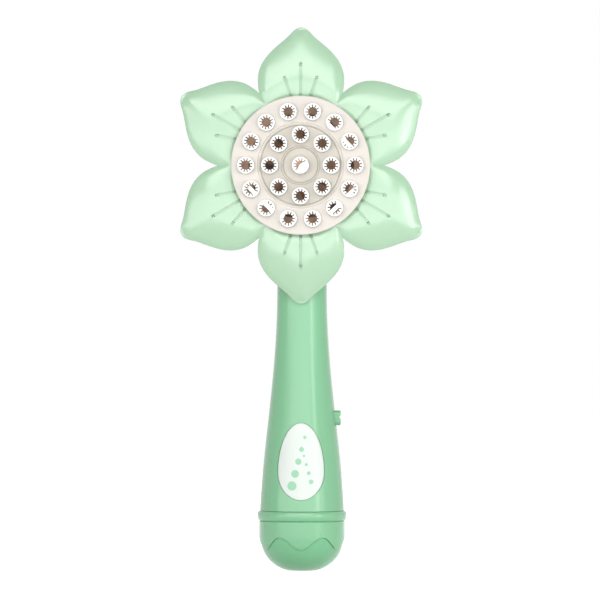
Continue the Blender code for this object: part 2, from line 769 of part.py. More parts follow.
def edge_radius(angle, columns):
    """Radius of the petal's edge in a direction off its own axis."""
    reach = abs(angle)
    polar_points = [(math.atan2(y, x), math.hypot(x, y)) for x, y in columns]
    for (a, ra), (b, rb) in zip(polar_points, polar_points[1:]):
        if a <= reach <= b:
            return ra + (rb - ra) * (reach - a) / (b - a)
    return polar_points[-1][1]


def groove(bm, start, end, middle, columns):
    """A V-shaped bar along one vein, sunk to just below the surface."""
    first, last = Vector(start), Vector(end)
    across = (last - first).normalized().orthogonal()
    rings = []
    for step in range(VEIN_STEPS + 1):
        flat = first.lerp(last, step / VEIN_STEPS)
        angle = math.atan2(flat.y, flat.x)
        edge = edge_radius(angle, columns)
        inward = (edge - flat.length) / (edge - COLLAR_RADIUS)
        depth = pillow(edge, inward) + VEIN_SINK
        size = VEIN_RADIUS * (0.55 if step in (0, VEIN_STEPS) else 1.0)
        points = []
        for x, y in circle(size, VEIN_SIDES):
            offset = flat + across * x
            points.append(Matrix.Rotation(middle, 3, "Z") @ Vector((offset.x, offset.y, depth + y)))
        rings.append(points)
    loops = skin(bm, rings, cyclic=False)
    bm.faces.new(loops[0])
    bm.faces.new(reversed(loops[-1]))


def build_petals(head):
    """Six petals and their collar, lofted as one moulding."""
    columns = flower_outline()
    rings = [flower_ring(columns, 0.0), flower_ring(columns, "band")]
    rings += [flower_ring(columns, part) for part in PETAL_FRACTIONS]
    rings += [flower_ring(columns, 1.0)]
    seat = DRUM_FRONT + GAP
    rings += [plain_ring(columns, COLLAR_BORE, COLLAR_FRONT),
              plain_ring(columns, COLLAR_BORE, seat),
              plain_ring(columns, DRUM_RADIUS - 0.3 * MM, seat),
              plain_ring(columns, DRUM_RADIUS - 0.3 * MM, NOTCH_DEPTH - PETAL_WALL)]
    rings += [flower_ring(columns, 0.45, PETAL_WALL)]
    rings += [flower_ring(columns, 0.0, PETAL_EDGE)]
    bm = bmesh.new()
    skin(bm, rings, cyclic=True)
    petals = from_bmesh("petal_shell", bm, head)
    boolean(petals, vein_tool(head))
    dress(petals, MINT_PALE, 0.3, 0.0, 35)


# Disc: face plate, nozzles and seal

def nozzle_places():
    """(x, y, angle) of each nozzle in the head's plane."""
    places = []
    for radius, count in NOZZLE_RINGS:
        for number in range(count):
            angle = FULL_TURN * number / count
            places.append((radius * math.cos(angle), radius * math.sin(angle), angle))
    return places


def toothed_bore():
    """Bore outline with narrow slots between the teeth, in one closed line."""
    half = TOOTH_SLOT_WIDTH / 2
    points = []
    for number in range(TOOTH_SLOTS):
        centre = FULL_TURN * (number + 0.5) / TOOTH_SLOTS
        for radius, side in ((NOZZLE_BORE, -half), (TOOTH_SLOT_END, 0), (NOZZLE_BORE, half)):
            along = math.sqrt(radius ** 2 - side ** 2)
            points.append((along * math.cos(centre) - side * math.sin(centre),
                           along * math.sin(centre) + side * math.cos(centre)))
    return points


def nozzle_tools(head, name, outline, low, high):
    """The same prism at every nozzle, turned to face the disc's centre."""
    bm = bmesh.new()
    for x, y, angle in nozzle_places():
        matrix = Matrix.Translation((x, y, 0)) @ Matrix.Rotation(angle, 4, "Z")
        prism(bm, outline, low, high, matrix)
    return from_bmesh(name, bm, head)


def build_nozzle_plate(head):
    """Carrier disc with 23 nozzles; every bore has twelve slots."""
    carrier = prism_object("nozzle_plate", circle(CARRIER_RADIUS, PLATE_SEGMENTS),
                           CARRIER_BACK, CARRIER_FRONT, head)
    posts = nozzle_tools(head, "posts", circle(NOZZLE_RADIUS, NOZZLE_SIDES),
                         CARRIER_BACK + 0.5 * MM, NOZZLE_FRONT)
    boolean(carrier, posts, "UNION")
    bores = nozzle_tools(head, "bores", toothed_bore(), CARRIER_BACK - 1 * MM,
                         NOZZLE_FRONT + 1 * MM)
    boolean(carrier, bores)
    dress(carrier, WHITE, 0.35)


def build_face_plate(head):
    """Beige disc with a rolled rim and two steps down to its centre."""
    outline = [(0, PLATE_BACK), (PLATE_RADIUS - 1.7 * MM, PLATE_BACK),
               (PLATE_RADIUS - 1.7 * MM, PLATE_REAR), (PLATE_RADIUS, PLATE_REAR),
               (PLATE_RADIUS, PLATE_OUTER_FACE - 0.9 * MM),
               (PLATE_RADIUS - 0.9 * MM, PLATE_OUTER_FACE),
               (STEP_OUTER[1], PLATE_OUTER_FACE), (STEP_OUTER[0], PLATE_MIDDLE_FACE),
               (STEP_INNER[1], PLATE_MIDDLE_FACE), (STEP_INNER[0], PLATE_INNER_FACE),
               (0, PLATE_INNER_FACE)]
    plate = turned_object("face_plate", outline, PLATE_SEGMENTS, head)
    holes = nozzle_tools(head, "holes", circle(NOZZLE_RADIUS + GAP, NOZZLE_SIDES),
                         PLATE_BACK - 1 * MM, PLATE_OUTER_FACE + 1 * MM)
    boolean(plate, holes)
    dress(plate, BEIGE, 0.35)


def build_face_seal(head):
    """Rubber ring between the nozzle plate and the air chamber."""
    low, high = SEAL_DEPTHS
    inner, outer = SEAL_RADII
    outline = [(inner, low), (outer, low), (outer, high), (inner, high)]
    dress(turned_object("face_seal", outline, 24, head), BLACK, 0.7)


# Air path and motor

def build_air_chamber(head):
    """Duct from the fan to the nozzles: wide mouth, narrower throat, inlet ring."""
    wall = CHAMBER_WALL
    outline = [(CHAMBER_MOUTH, CHAMBER_FRONT), (CHAMBER_MOUTH, 17.2 * MM),
               (CHAMBER_FLANGE, 17.2 * MM), (CHAMBER_FLANGE, DRUM_LEDGE + GAP),
               (CHAMBER_THROAT, 14.6 * MM), (CHAMBER_THROAT, CHAMBER_BACK),
               (CHAMBER_INLET, CHAMBER_BACK), (CHAMBER_INLET, CHAMBER_BACK + wall),
               (CHAMBER_THROAT - wall, CHAMBER_BACK + wall), (CHAMBER_THROAT - wall, 15.6 * MM),
               (CHAMBER_MOUTH - wall, 18.4 * MM), (CHAMBER_MOUTH - wall, CHAMBER_FRONT)]
    chamber = turned_object("air_chamber", outline, CHAMBER_SEGMENTS, head)
    lead_way = box((-6.5 * MM, -40 * MM, 5.0 * MM), (6.5 * MM, -25 * MM, 11.0 * MM), "lead_way", head)
    boolean(chamber, lead_way)
    dress(chamber, BROWN, 0.5)


def motor_outline(radius, flat):
    """Round can with two flats."""
    lean = math.asin(flat / radius)
    right = [lean * (step / 4 * 2 - 1) for step in range(5)]
    arc = [(radius * math.cos(a), radius * math.sin(a)) for a in right]
    return arc + [(-x, -y) for x, y in arc]


def spider_frame(head):
    """Arms that pass between the inner nozzles, and the bars across their ends."""
    low, high = ARM_BACK - 1 * MM, ARM_FRONT + 1 * MM
    start = (HUB_BORE + HUB_RADIUS) / 2
    arm = [(start, -ARM_HALF), (CHAMBER_MOUTH, -ARM_HALF), (CHAMBER_MOUTH, ARM_HALF),
           (start, ARM_HALF)]
    frame = None
    shapes = [(degrees, arm) for degrees in ARM_ANGLES]
    for degrees, middle in SPIDER_BARS:
        bar = [(middle - BAR_HALF, -BAR_REACH), (middle + BAR_HALF, -BAR_REACH),
               (middle + BAR_HALF, BAR_REACH), (middle - BAR_HALF, BAR_REACH)]
        shapes.append((degrees, bar))
    for degrees, outline in shapes:
        turn = Matrix.Rotation(math.radians(degrees), 4, "Z")
        piece = prism_object("strut", outline, low, high, head, turn)
        frame = piece if frame is None else boolean(frame, piece, "UNION")
    return frame


def motor_finger(head):
    """Round-ended finger that holds the motor back in its cup."""
    facing = math.radians(FINGER_ANGLE)
    along = Vector((math.cos(facing), math.sin(facing)))
    across = Vector((-along.y, along.x)) * FINGER_HALF
    root = along * (HUB_WINDOW + HUB_BORE) / 2
    outline = [tuple(root - across), tuple(root + across)]
    for step in range(9):
        angle = facing + math.pi / 2 + math.pi * step / 8
        outline.append((FINGER_TIP[0] + FINGER_HALF * math.cos(angle),
                        FINGER_TIP[1] + FINGER_HALF * math.sin(angle)))
    return prism_object("finger", outline, HUB_FLOOR + 0.2 * MM, HUB_FRONT, head)


def build_spider(head):
    """White carrier: a motor cup on four arms, three of which end in cross bars."""
    spider = prism_object("motor_spider", circle(SPIDER_RADIUS, CHAMBER_SEGMENTS),
                          ARM_BACK, ARM_FRONT, head)
    boolean(spider, spider_frame(head), "INTERSECT")
    outline = [(HUB_WINDOW, HUB_FRONT), (HUB_RADIUS, HUB_FRONT), (HUB_RADIUS, HUB_BACK),
               (HUB_BORE, HUB_BACK), (HUB_BORE, HUB_FLOOR), (HUB_WINDOW, HUB_FLOOR)]
    boolean(spider, turned_object("cup", outline, CHAMBER_SEGMENTS, head), "UNION")
    boolean(spider, motor_finger(head), "UNION")
    lead_way = box((-5.0 * MM, -14 * MM, 14 * MM), (5.0 * MM, -9 * MM, HUB_FLOOR - 0.2 * MM),
                   "lead_way", head)
    boolean(spider, lead_way)
    dress(spider, WHITE, 0.4)


def build_motor(head):
    """Flat-sided can with its rear boss, the brown end cap and the shaft."""
    can = prism_object("motor_can", motor_outline(MOTOR_RADIUS, MOTOR_FLAT), 0.0, MOTOR_FRONT, head)
    boss = prism_object("boss", circle(MOTOR_BOSS_RADIUS, 12), MOTOR_BOSS_BACK, 1 * MM, head)
    boolean(can, boss, "UNION")
    bore = prism_object("bore", circle(SHAFT_RADIUS + GAP, 10), -5 * MM, SHAFT_FRONT + GAP, head)
    boolean(can, bore)
    dress(can, STEEL, 0.3, 1.0)
    cap = prism_object("motor_end_cap", motor_outline(MOTOR_RADIUS - 0.3 * MM, MOTOR_FLAT - 0.3 * MM),
                       MOTOR_FRONT + GAP, END_CAP_FRONT, head)
    dress(cap, BROWN, 0.5)
    shaft = prism_object("motor_shaft", circle(SHAFT_RADIUS, 10), SHAFT_BACK, SHAFT_FRONT, head)
    dress(shaft, STEEL, 0.2, 1.0)


def blade_ring(radius, blade_angle, chord):
    """Cross-section of a blade: a thin slanted strip at one radius."""
    middle = (FAN_FRONT + FAN_BACK) / 2
    along = Vector((0, math.cos(blade_angle), math.sin(blade_angle))) * chord / 2
    thick = Vector((0, -math.sin(blade_angle), math.cos(blade_angle))) * BLADE_WALL / 2
    base = Vector((radius, 0, middle))
    return [base + along + thick, base - along + thick, base - along - thick, base + along - thick]


def build_impeller(head):
    """Axial fan: a hub and seven twisted blades."""
    hub_profile = [(SHAFT_RADIUS + GAP, FAN_BACK), (FAN_HUB, FAN_BACK),
                   (FAN_HUB, FAN_FRONT), (SHAFT_RADIUS + GAP, FAN_FRONT)]
    fan = turned_object("impeller", hub_profile, 14, head)
    bm = bmesh.new()
    stations = ((FAN_HUB - 1 * MM, math.radians(48), 10 * MM),
                (FAN_RADIUS, math.radians(22), 22 * MM))
    for number in range(FAN_BLADES):
        turn = Matrix.Rotation(FULL_TURN * number / FAN_BLADES, 3, "Z")
        rings = [[turn @ point for point in blade_ring(*station)] for station in stations]
        loops = skin(bm, rings, cyclic=False)
        bm.faces.new(loops[0])
        bm.faces.new(reversed(loops[-1]))
    boolean(fan, from_bmesh("blades", bm, head), "UNION")
    dress(fan, BROWN, 0.5)


# Power: cells, contacts, bay, switch, leads

def cell_places():
    """(x, y, turned over) of the three cells; one at the front, two behind."""
    angles = (270, 30, 150)
    return [(*polar(CELL_CIRCLE, angle), angle == 30) for angle in angles]


def build_cells():
    """AA cells with a shoulder and a raised positive end."""
    shoulder = 0.7 * MM
    body_top = CELL_LENGTH - CELL_NUB
    profile = [(0, 0), (CELL_RADIUS, 0), (CELL_RADIUS, body_top - shoulder),
               (CELL_RADIUS - shoulder, body_top), (2.6 * MM, body_top),
               (2.6 * MM, CELL_LENGTH), (0, CELL_LENGTH)]
    for number, (x, y, over) in enumerate(cell_places(), 1):
        cell = turned_object(f"battery_{number}", profile, 12)
        low = CELL_LOW if over else CELL_LOW + SPRING_SPACE
        if over:
            cell.rotation_euler = (math.pi, 0, 0)
            low += CELL_LENGTH
        cell.location = (x, y, low)
        dress(cell, BLACK, 0.35, 0.4)


def build_contact_springs():
    """Conical springs at the flat end of each cell."""
    turns, points_per_turn, wire = 2, 6, 0.25 * MM
    count = int(turns * points_per_turn)
    for number, (x, y, over) in enumerate(cell_places(), 1):
        curve = bpy.data.curves.new(f"contact_spring_{number}", "CURVE")
        curve.dimensions = "3D"
        curve.bevel_depth = wire
        curve.bevel_resolution = 0
        curve.use_fill_caps = True
        spline = curve.splines.new("POLY")
        spline.points.add(count)
        low = CELL_LOW + CELL_LENGTH + wire + 0.2 * MM if over else CELL_LOW + wire
        reach = SPRING_SPACE - 2 * wire - 0.4 * MM
        for step in range(count + 1):
            part = step / count
            radius = 3.6 * MM - 1.4 * MM * (1 - part if over else part)
            angle = FULL_TURN * turns * part
            spline.points[step].co = (x + radius * math.cos(angle), y + radius * math.sin(angle),
                                      low + reach * part, 1)
        spring = place(bpy.data.objects.new(curve.name, curve))
        spring.data.materials.append(finish(curve.name, STEEL, 0.25, 1.0))


def contact_outline():
    """Rounded triangle that covers all three cell ends."""
    points = []
    for x, y, _ in cell_places():
        facing = math.atan2(y, x)
        for step in range(4):
            angle = facing + math.radians(-60 + 40 * step)
            points.append((x + 5.5 * MM * math.cos(angle), y + 5.5 * MM * math.sin(angle)))
    points.sort(key=lambda point: math.atan2(point[1], point[0]))
    return points


def build_contact_plates():
    """Thin plates under and over the cells."""
    low = CELL_LOW - GAP - PLATE_THICKNESS
    high = CELL_LOW + SPRING_SPACE + CELL_LENGTH + GAP
    for name, level in (("contact_plate_bottom", low), ("contact_plate_top", high)):
        plate = prism_object(name, contact_outline(), level, level + PLATE_THICKNESS)
        dress(plate, STEEL, 0.25, 1.0)


def build_battery_bay():
    """Tray for three cells, open to the rear, with a post for the door screw."""
    low = BAY_LOW + BAY_FLOOR
    high = BAY_HIGH - BAY_FLOOR
    outline = [(0, BAY_LOW), (BAY_FLANGE, BAY_LOW), (BAY_FLANGE, low),
               (BAY_RADIUS, low), (BAY_RADIUS, BAY_HIGH), (0, BAY_HIGH)]
    bay = turned_object("battery_bay", outline, 20)
    boolean(bay, prism_object("room", circle(BAY_RADIUS - BAY_WALL, 20), low, high))
    boolean(bay, box((-13.2 * MM, 4 * MM, low), (13.2 * MM, 30 * MM, high)))
    button_room = BUTTON_BACK - BUTTON_TRAVEL - GAP
    boolean(bay, box((button_room, -30 * MM, high - 1 * MM), (30 * MM, 30 * MM, 100 * MM)))
    post = prism_object("post", circle(3 * MM, 10), 6 * MM, 17.6 * MM, None,
                        along_y(0, DOOR_SCREW_HEIGHT))
    boolean(bay, post, "UNION")
    bore = prism_object("post_bore", circle(1.5 * MM, 8), 11.7 * MM, 20 * MM, None,
                        along_y(0, DOOR_SCREW_HEIGHT))
    boolean(bay, bore)
    bm = bmesh.new()
    for hole in (LEAD_HOLE_LEFT, LEAD_HOLE_RIGHT):
        prism(bm, circle(LEAD_HOLE_RADIUS, 8, hole), high - 1 * MM, BAY_HIGH + 1 * MM)
    boolean(bay, from_bmesh("lead_holes", bm))
    dress(bay, BLACK, 0.6)


def build_switch():
    """Board that stands on the bay, with the switch and its plunger."""
    board = box((BOARD_BACK, -6.5 * MM, BAY_HIGH + 0.6 * MM), (BOARD_FACE, 6.5 * MM, BOARD_TOP),
                "switch_board")
    dress(board, (0.05, 0.25, 0.1), 0.5)
    body = box((SWITCH_BACK, -SWITCH_HALF, BUTTON_HEIGHT - SWITCH_HALF + 0.8 * MM),
               (SWITCH_FACE, SWITCH_HALF, BUTTON_HEIGHT + SWITCH_HALF), "switch_body")
    bore = prism_object("bore", circle(PLUNGER_RADIUS + GAP, 12), 9.4 * MM, 15 * MM, None,
                        along_x(0, BUTTON_HEIGHT))
    boolean(body, bore)
    dress(body, BLACK, 0.5)
    plunger = prism_object("switch_plunger", circle(PLUNGER_RADIUS, 12), PLUNGER_BACK,
                           BUTTON_BACK - GAP, None, along_x(0, BUTTON_HEIGHT))
    dress(plunger, WHITE, 0.4)


def build_button():
    """Rounded square cap with a retaining flange and a finger groove."""
    stations = ((BUTTON_FLANGE, BUTTON_BACK), (BUTTON_FLANGE, BUTTON_FLANGE_FACE),
                (BUTTON_HALF, BUTTON_FLANGE_FACE), (BUTTON_HALF, BUTTON_FACE - 0.9 * MM),
                (BUTTON_HALF - 0.9 * MM, BUTTON_FACE))
    bm = bmesh.new()
    rings = [[(level, x, y) for x, y in rounded_square(half)] for half, level in stations]
    loops = skin(bm, rings, cyclic=False)
    bm.faces.new(loops[0])
    bm.faces.new(reversed(loops[-1]))
    bmesh.ops.translate(bm, verts=bm.verts[:], vec=(0, 0, BUTTON_HEIGHT))
    button = from_bmesh("power_button", bm)
    low = BUTTON_HEIGHT - 0.2 * MM
    finger_groove = box((BUTTON_FACE - GROOVE_DEPTH, -10 * MM, low),
                        (30 * MM, 10 * MM, low + GROOVE_HEIGHT))
    boolean(button, finger_groove)
    dress(button, MINT_DARK, 0.4)


def lead(name, route, colour, wire=0.7 * MM):
    """An insulated wire along a smooth route."""
    curve = bpy.data.curves.new(name, "CURVE")
    curve.dimensions = "3D"
    curve.bevel_depth = wire
    curve.bevel_resolution = 0
    curve.use_fill_caps = True
    points = smooth_route([Vector(point) * MM for point in route])
    spline = curve.splines.new("POLY")
    spline.points.add(len(points) - 1)
    for target, point in zip(spline.points, points):
        target.co = (*point, 1)
    item = place(bpy.data.objects.new(name, curve))
    item.data.materials.append(finish(name, colour, 0.5))


def smooth_route(points, steps=2):
    """Catmull-Rom curve through the route's own points."""
    padded = [2 * points[0] - points[1]] + points + [2 * points[-1] - points[-2]]
    result = []
    for a, b, c, d in zip(padded, padded[1:], padded[2:], padded[3:]):
        for step in range(steps):
            t = step / steps
            result.append(0.5 * (2 * b + (c - a) * t + (2 * a - 5 * b + 4 * c - d) * t ** 2
                                 + (3 * b - a - 3 * c + d) * t ** 3))
    return result + [points[-1]]


def build_leads():
    """Two leads down from the motor, and one from the cells to the board."""
    top = HEAD_HEIGHT / MM
    upper = [(3.4, -19.6, top - 10.4), (3.5, -18.0, top - 14.5), (3.6, -10.0, top - 22.0),
             (3.8, -8.0, top - 34.0), (4.4, -7.5, 204.0), (5.8, -6.0, 184.0), (5.9, -5.0, 160.0),
             (6.2, -4.5, 132.0)]
    down = [(6.7, -4.0, 116.0), (6.7, -4.0, 110.4)]
    lead("motor_lead_red", upper + down, RED)
    mirrored = [(-x, y, z) for x, y, z in upper]
    left = [(-6.2, -4.0, 108.0), (-5.8, -4.0, 98.0), (-5.8, -4.0, 90.9)]
    lead("motor_lead_black", mirrored + left, BLACK)
    lead("battery_lead", [(5.5, -4.4, 103.0), (4.6, -4.9, 102.0), (3.4, -7.0, 97.5),
                          (3.2, -7.5, 93.5), (3.2, -7.5, 90.9)], RED)


def main():
    clear_scene()
    head = place(bpy.data.objects.new("head_axis", None))
    head.location = (0, 0, HEAD_HEIGHT)
    head.rotation_euler = (math.pi / 2, 0, 0)
    bpy.context.view_layer.update()
    build_housing(head)
    build_battery_door()
    build_housing_screws(head)
    build_base_cap()
    build_base_collar()
    build_label()
    build_petals(head)
    build_nozzle_plate(head)
    build_face_plate(head)
    build_face_seal(head)
    build_air_chamber(head)
    build_spider(head)
    build_motor(head)
    build_impeller(head)
    build_cells()
    build_contact_springs()
    build_contact_plates()
    build_battery_bay()
    build_switch()
    build_button()
    build_leads()


main()
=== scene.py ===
"""Looks of a hand-held flower bubble machine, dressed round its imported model.

Pieces are modelled in millimetres and published in metres. The pieces of the
head are modelled in the head's own space: X to the right, Y up and Z out of
the front, measured from the handle's axis.
"""

import json
import logging
import math
from collections.abc import Callable, Iterable, Iterator, Sequence
from contextlib import contextmanager
from dataclasses import dataclass
from enum import Enum

import bmesh
import bpy
from mathutils import Matrix, Vector


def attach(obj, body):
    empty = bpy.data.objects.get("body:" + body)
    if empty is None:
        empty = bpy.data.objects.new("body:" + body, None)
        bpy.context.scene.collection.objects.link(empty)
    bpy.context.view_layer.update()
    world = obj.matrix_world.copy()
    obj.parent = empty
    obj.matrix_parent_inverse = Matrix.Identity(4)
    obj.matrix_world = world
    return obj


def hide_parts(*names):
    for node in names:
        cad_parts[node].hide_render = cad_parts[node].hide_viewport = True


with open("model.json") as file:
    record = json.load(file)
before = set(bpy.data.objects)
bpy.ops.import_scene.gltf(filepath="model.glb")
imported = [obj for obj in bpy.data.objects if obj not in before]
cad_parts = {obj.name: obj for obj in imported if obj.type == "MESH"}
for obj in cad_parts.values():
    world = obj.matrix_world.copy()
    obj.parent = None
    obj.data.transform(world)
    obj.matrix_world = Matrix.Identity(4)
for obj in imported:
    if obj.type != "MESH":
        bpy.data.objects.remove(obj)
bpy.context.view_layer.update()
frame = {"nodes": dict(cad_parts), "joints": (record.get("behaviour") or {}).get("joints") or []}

logging.basicConfig(level=logging.INFO, format="%(message)s")
log = logging.getLogger("bubble_machine")

MM = 0.001
TURN = 2 * math.pi
GAP = 0.3
WELD = 0.002
HARD_EDGE = 0.6
COAT_ROUGHNESS = 0.2
BUMP_STRENGTH = 0.35
DOT_EDGE = 0.08
HEAD_HEIGHT = frame["joints"][0]["pos_m"][2] / MM

Point = tuple[float, float]
Triple = tuple[float, float, float]
Mesh = bmesh.types.BMesh
Thing = bpy.types.Object
Tree = bpy.types.NodeTree
Socket = bpy.types.NodeSocket
Value = Socket | float | Sequence[float]

HEAD = Matrix.Translation((0, 0, HEAD_HEIGHT)) @ Matrix.Rotation(math.pi / 2, 4, "X")
UPRIGHT = Matrix.Identity(4)


class Body(Enum):
    """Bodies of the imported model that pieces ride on."""

    HOUSING = "housing"
    BUTTON = "button"
    DOOR = "door"


# Mesh helpers

def placed(name: str, data: bpy.types.ID) -> Thing:
    """Put data into the scene as an object of its own."""
    item = bpy.data.objects.new(name, data)
    bpy.context.scene.collection.objects.link(item)
    return item


def linked(name: str, bm: Mesh) -> Thing:
    """Turn a bmesh into an object, its doubles merged and its faces turned outwards.

    Args:
        name: Name of the object and of its mesh.
        bm: The bmesh, which is freed.

    Returns:
        The object.
    """
    bmesh.ops.remove_doubles(bm, verts=bm.verts[:], dist=WELD)
    bmesh.ops.recalc_face_normals(bm, faces=bm.faces[:])
    mesh = bpy.data.meshes.new(name)
    bm.to_mesh(mesh)
    bm.free()
    return placed(name, mesh)


@contextmanager
def reworked(item: Thing) -> Iterator[Mesh]:
    """Lend an object's mesh as a bmesh and write it back afterwards."""
    bm = bmesh.new()
    bm.from_mesh(item.data)
    yield bm
    bm.to_mesh(item.data)
    bm.free()


def turned(name: str, profile: Sequence[Point], segments: int) -> Thing:
    """Turn a (radius, height) outline about Z.

    Args:
        name: Name of the piece.
        profile: Outline; one that starts on the axis ends there too.
        segments: Steps in the full turn.

    Returns:
        The turned solid.
    """
    bm = bmesh.new()
    verts = [bm.verts.new((radius, 0.0, height)) for radius, height in profile]
    edges = [bm.edges.new(pair) for pair in zip(verts, verts[1:])]
    if profile[0][0] > 0:
        edges.append(bm.edges.new((verts[-1], verts[0])))
    bmesh.ops.spin(bm, geom=verts + edges, cent=(0, 0, 0), axis=(0, 0, 1), dvec=(0, 0, 0),
                   angle=TURN, steps=segments, use_merge=True)
    return linked(name, bm)


def raised(bm: Mesh, faces: Sequence[bmesh.types.BMFace],
           height: float) -> list[bmesh.types.BMVert]:
    """Extrude faces along Z and return their new corners."""
    grown = bmesh.ops.extrude_face_region(bm, geom=faces)["geom"]
    verts = [item for item in grown if isinstance(item, bmesh.types.BMVert)]
    bmesh.ops.translate(bm, verts=verts, vec=(0, 0, height))
    return verts


def prism(bm: Mesh, outline: Sequence[Point], low: float, high: float,
          turn: Matrix = UPRIGHT) -> None:
    """Add a flat outline, extruded along Z, to a bmesh.

    Args:
        bm: The bmesh.
        outline: Corner points.
        low: Height of the first face.
        high: Height of the second face.
        turn: Placement of the finished prism.
    """
    verts = [bm.verts.new((x, y, low)) for x, y in outline]
    top = raised(bm, [bm.faces.new(verts)], high - low)
    bmesh.ops.transform(bm, matrix=turn, verts=verts + top)


def prisms(name: str, outline: Sequence[Point], low: float, high: float,
           turns: Iterable[Matrix] = (UPRIGHT,)) -> Thing:
    """The same prism at several places, as one object."""
    bm = bmesh.new()
    for turn in turns:
        prism(bm, outline, low, high, turn)
    return linked(name, bm)


def block(low: Triple, high: Triple) -> Thing:
    """A plain box between two corners, used as a cutter."""
    outline = [(low[0], low[1]), (high[0], low[1]), (high[0], high[1]), (low[0], high[1])]
    return prisms("cutter", outline, low[2], high[2])


def upright(section: Sequence[Point], angle: float) -> list[Vector]:
    """Points of a (radius, height) section that is turned about Z."""
    return [Vector((*polar(radius, angle), height)) for radius, height in section]


def wrapped(name: str, sections: Sequence[Sequence[Vector]]) -> Thing:
    """Bend a grid into a closed ring-shaped skin.

    Args:
        name: Name of the piece.
        sections: Points round its wall, for every step round the piece.

    Returns:
        The closed skin.
    """
    across, around = len(sections), len(sections[0])
    bm = bmesh.new()
    bmesh.ops.create_grid(bm, x_segments=across, y_segments=around, size=1.0)
    for vert in bm.verts:
        column = round((vert.co.x + 1) / 2 * across)
        ring = round((vert.co.y + 1) / 2 * around)
        vert.co = sections[column % across][ring % around]
    return linked(name, bm)


def polar(radius: float, angle: float, centre: Point = (0.0, 0.0)) -> Point:
    """Point at a radius and an angle in radians round a centre."""
    return centre[0] + radius * math.cos(angle), centre[1] + radius * math.sin(angle)


def arc(radius: float, start: float, end: float, steps: int,
        centre: Point = (0.0, 0.0)) -> list[Point]:
    """Points along an arc between two angles, both ends included."""
    return [polar(radius, start + (end - start) * step / steps, centre)
            for step in range(steps + 1)]


def circle(radius: float, sides: int) -> list[Point]:
    """Corner points of a regular polygon."""
    return arc(radius, 0.0, TURN, sides)[:-1]


def softened(points: Sequence[Point], radius: float, steps: int = 4) -> list[Point]:
    """Round the inner corners of an open outline.

    Args:
        points: The outline; its two ends stay where they are.
        radius: How far from each corner the rounding starts, at most.
        steps: Steps in each rounding.

    Returns:
        The outline with its corners rounded.
    """
    result = [points[0]]
    for before, corner, after in zip(points, points[1:], points[2:]):
        here, to_last, to_next = Vector(corner), Vector(before), Vector(after)
        reach = min(radius, (to_last - here).length * 0.45, (to_next - here).length * 0.45)
        start = here + (to_last - here).normalized() * reach
        end = here + (to_next - here).normalized() * reach
        for step in range(steps + 1):
            part = step / steps
            mixed = start.lerp(here, part).lerp(here.lerp(end, part), part)
            result.append((mixed.x, mixed.y))
    return result + [points[-1]]


def rounded_square(half: float, corner: float, steps: int = 8) -> list[Point]:
    """Outline of a square with round corners."""
    points = []
    for quarter in range(4):
        centre = ((half - corner) * (1 if quarter in (0, 3) else -1),
                  (half - corner) * (1 if quarter in (0, 1) else -1))
        points += arc(corner, TURN / 4 * quarter, TURN / 4 * (quarter + 1), steps, centre)
    return points


def bezier(controls: Sequence[Point], part: float) -> Point:
    """Point on a cubic Bezier curve at a fraction of its span."""
    rest = 1 - part
    weights = (rest ** 3, 3 * rest ** 2 * part, 3 * rest * part ** 2, part ** 3)
    return tuple(sum(w * p[axis] for w, p in zip(weights, controls)) for axis in range(2))


def between(points: Sequence[Point], place: float) -> float:
    """Value at a place on a line of (place, value) points."""
    for (start, first), (end, last) in zip(points, points[1:]):
        if start <= place <= end:
            return first + (last - first) * (place - start) / max(end - start, 1e-9)
    return points[-1][1]


def along_y(x: float, z: float) -> Matrix:
    """Placement that lays a prism's Z along +Y."""
    return Matrix.Translation((x, 0, z)) @ Matrix.Rotation(-math.pi / 2, 4, "X")


def along_x(z: float) -> Matrix:
    """Placement that lays a prism's Z along +X, with its own X along +Y."""
    turn = Matrix(((0, 0, 1, 0), (1, 0, 0, 0), (0, 1, 0, 0), (0, 0, 0, 1)))
    return Matrix.Translation((0, 0, z)) @ turn


def carved(target: Thing, tool: Thing, operation: str = "DIFFERENCE") -> Thing:
    """Cut, join or intersect a solid with another one, which is used up."""
    modifier = target.modifiers.new("carve", "BOOLEAN")
    modifier.operation = operation
    modifier.object = tool
    modifier.solver = "EXACT"
    depsgraph = bpy.context.evaluated_depsgraph_get()
    result = bpy.data.meshes.new_from_object(target.evaluated_get(depsgraph))
    target.modifiers.clear()
    target.data = result
    bpy.data.objects.remove(tool, do_unlink=True)
    with reworked(target) as bm:
        bmesh.ops.remove_doubles(bm, verts=bm.verts[:], dist=WELD)
        bmesh.ops.dissolve_degenerate(bm, dist=WELD, edges=bm.edges[:])
    return target


def eased(item: Thing, width: float, keep: Callable[[bmesh.types.BMEdge], bool]) -> None:
    """Round the hard edges of a solid that a test picks out.

    Args:
        item: The solid.
        width: Width of the rounding.
        keep: Says whether an edge is one of them.
    """
    with reworked(item) as bm:
        edges = [edge for edge in bm.edges if edge.is_manifold
                 and edge.calc_face_angle() > HARD_EDGE and keep(edge)]
        bmesh.ops.bevel(bm, geom=edges, offset=width, offset_type="OFFSET", affect="EDGES",
                        segments=2, profile=0.5, material=-1, clamp_overlap=True)
        bmesh.ops.remove_doubles(bm, verts=bm.verts[:], dist=WELD)


# Surfaces

def feed(tree: Tree, node: bpy.types.Node, inputs: dict[str | int, Value]) -> None:
    """Link a socket, or set a value, at each named input of a node."""
    for name, value in inputs.items():
        if isinstance(value, Socket):
            tree.links.new(value, node.inputs[name])
        else:
            node.inputs[name].default_value = value


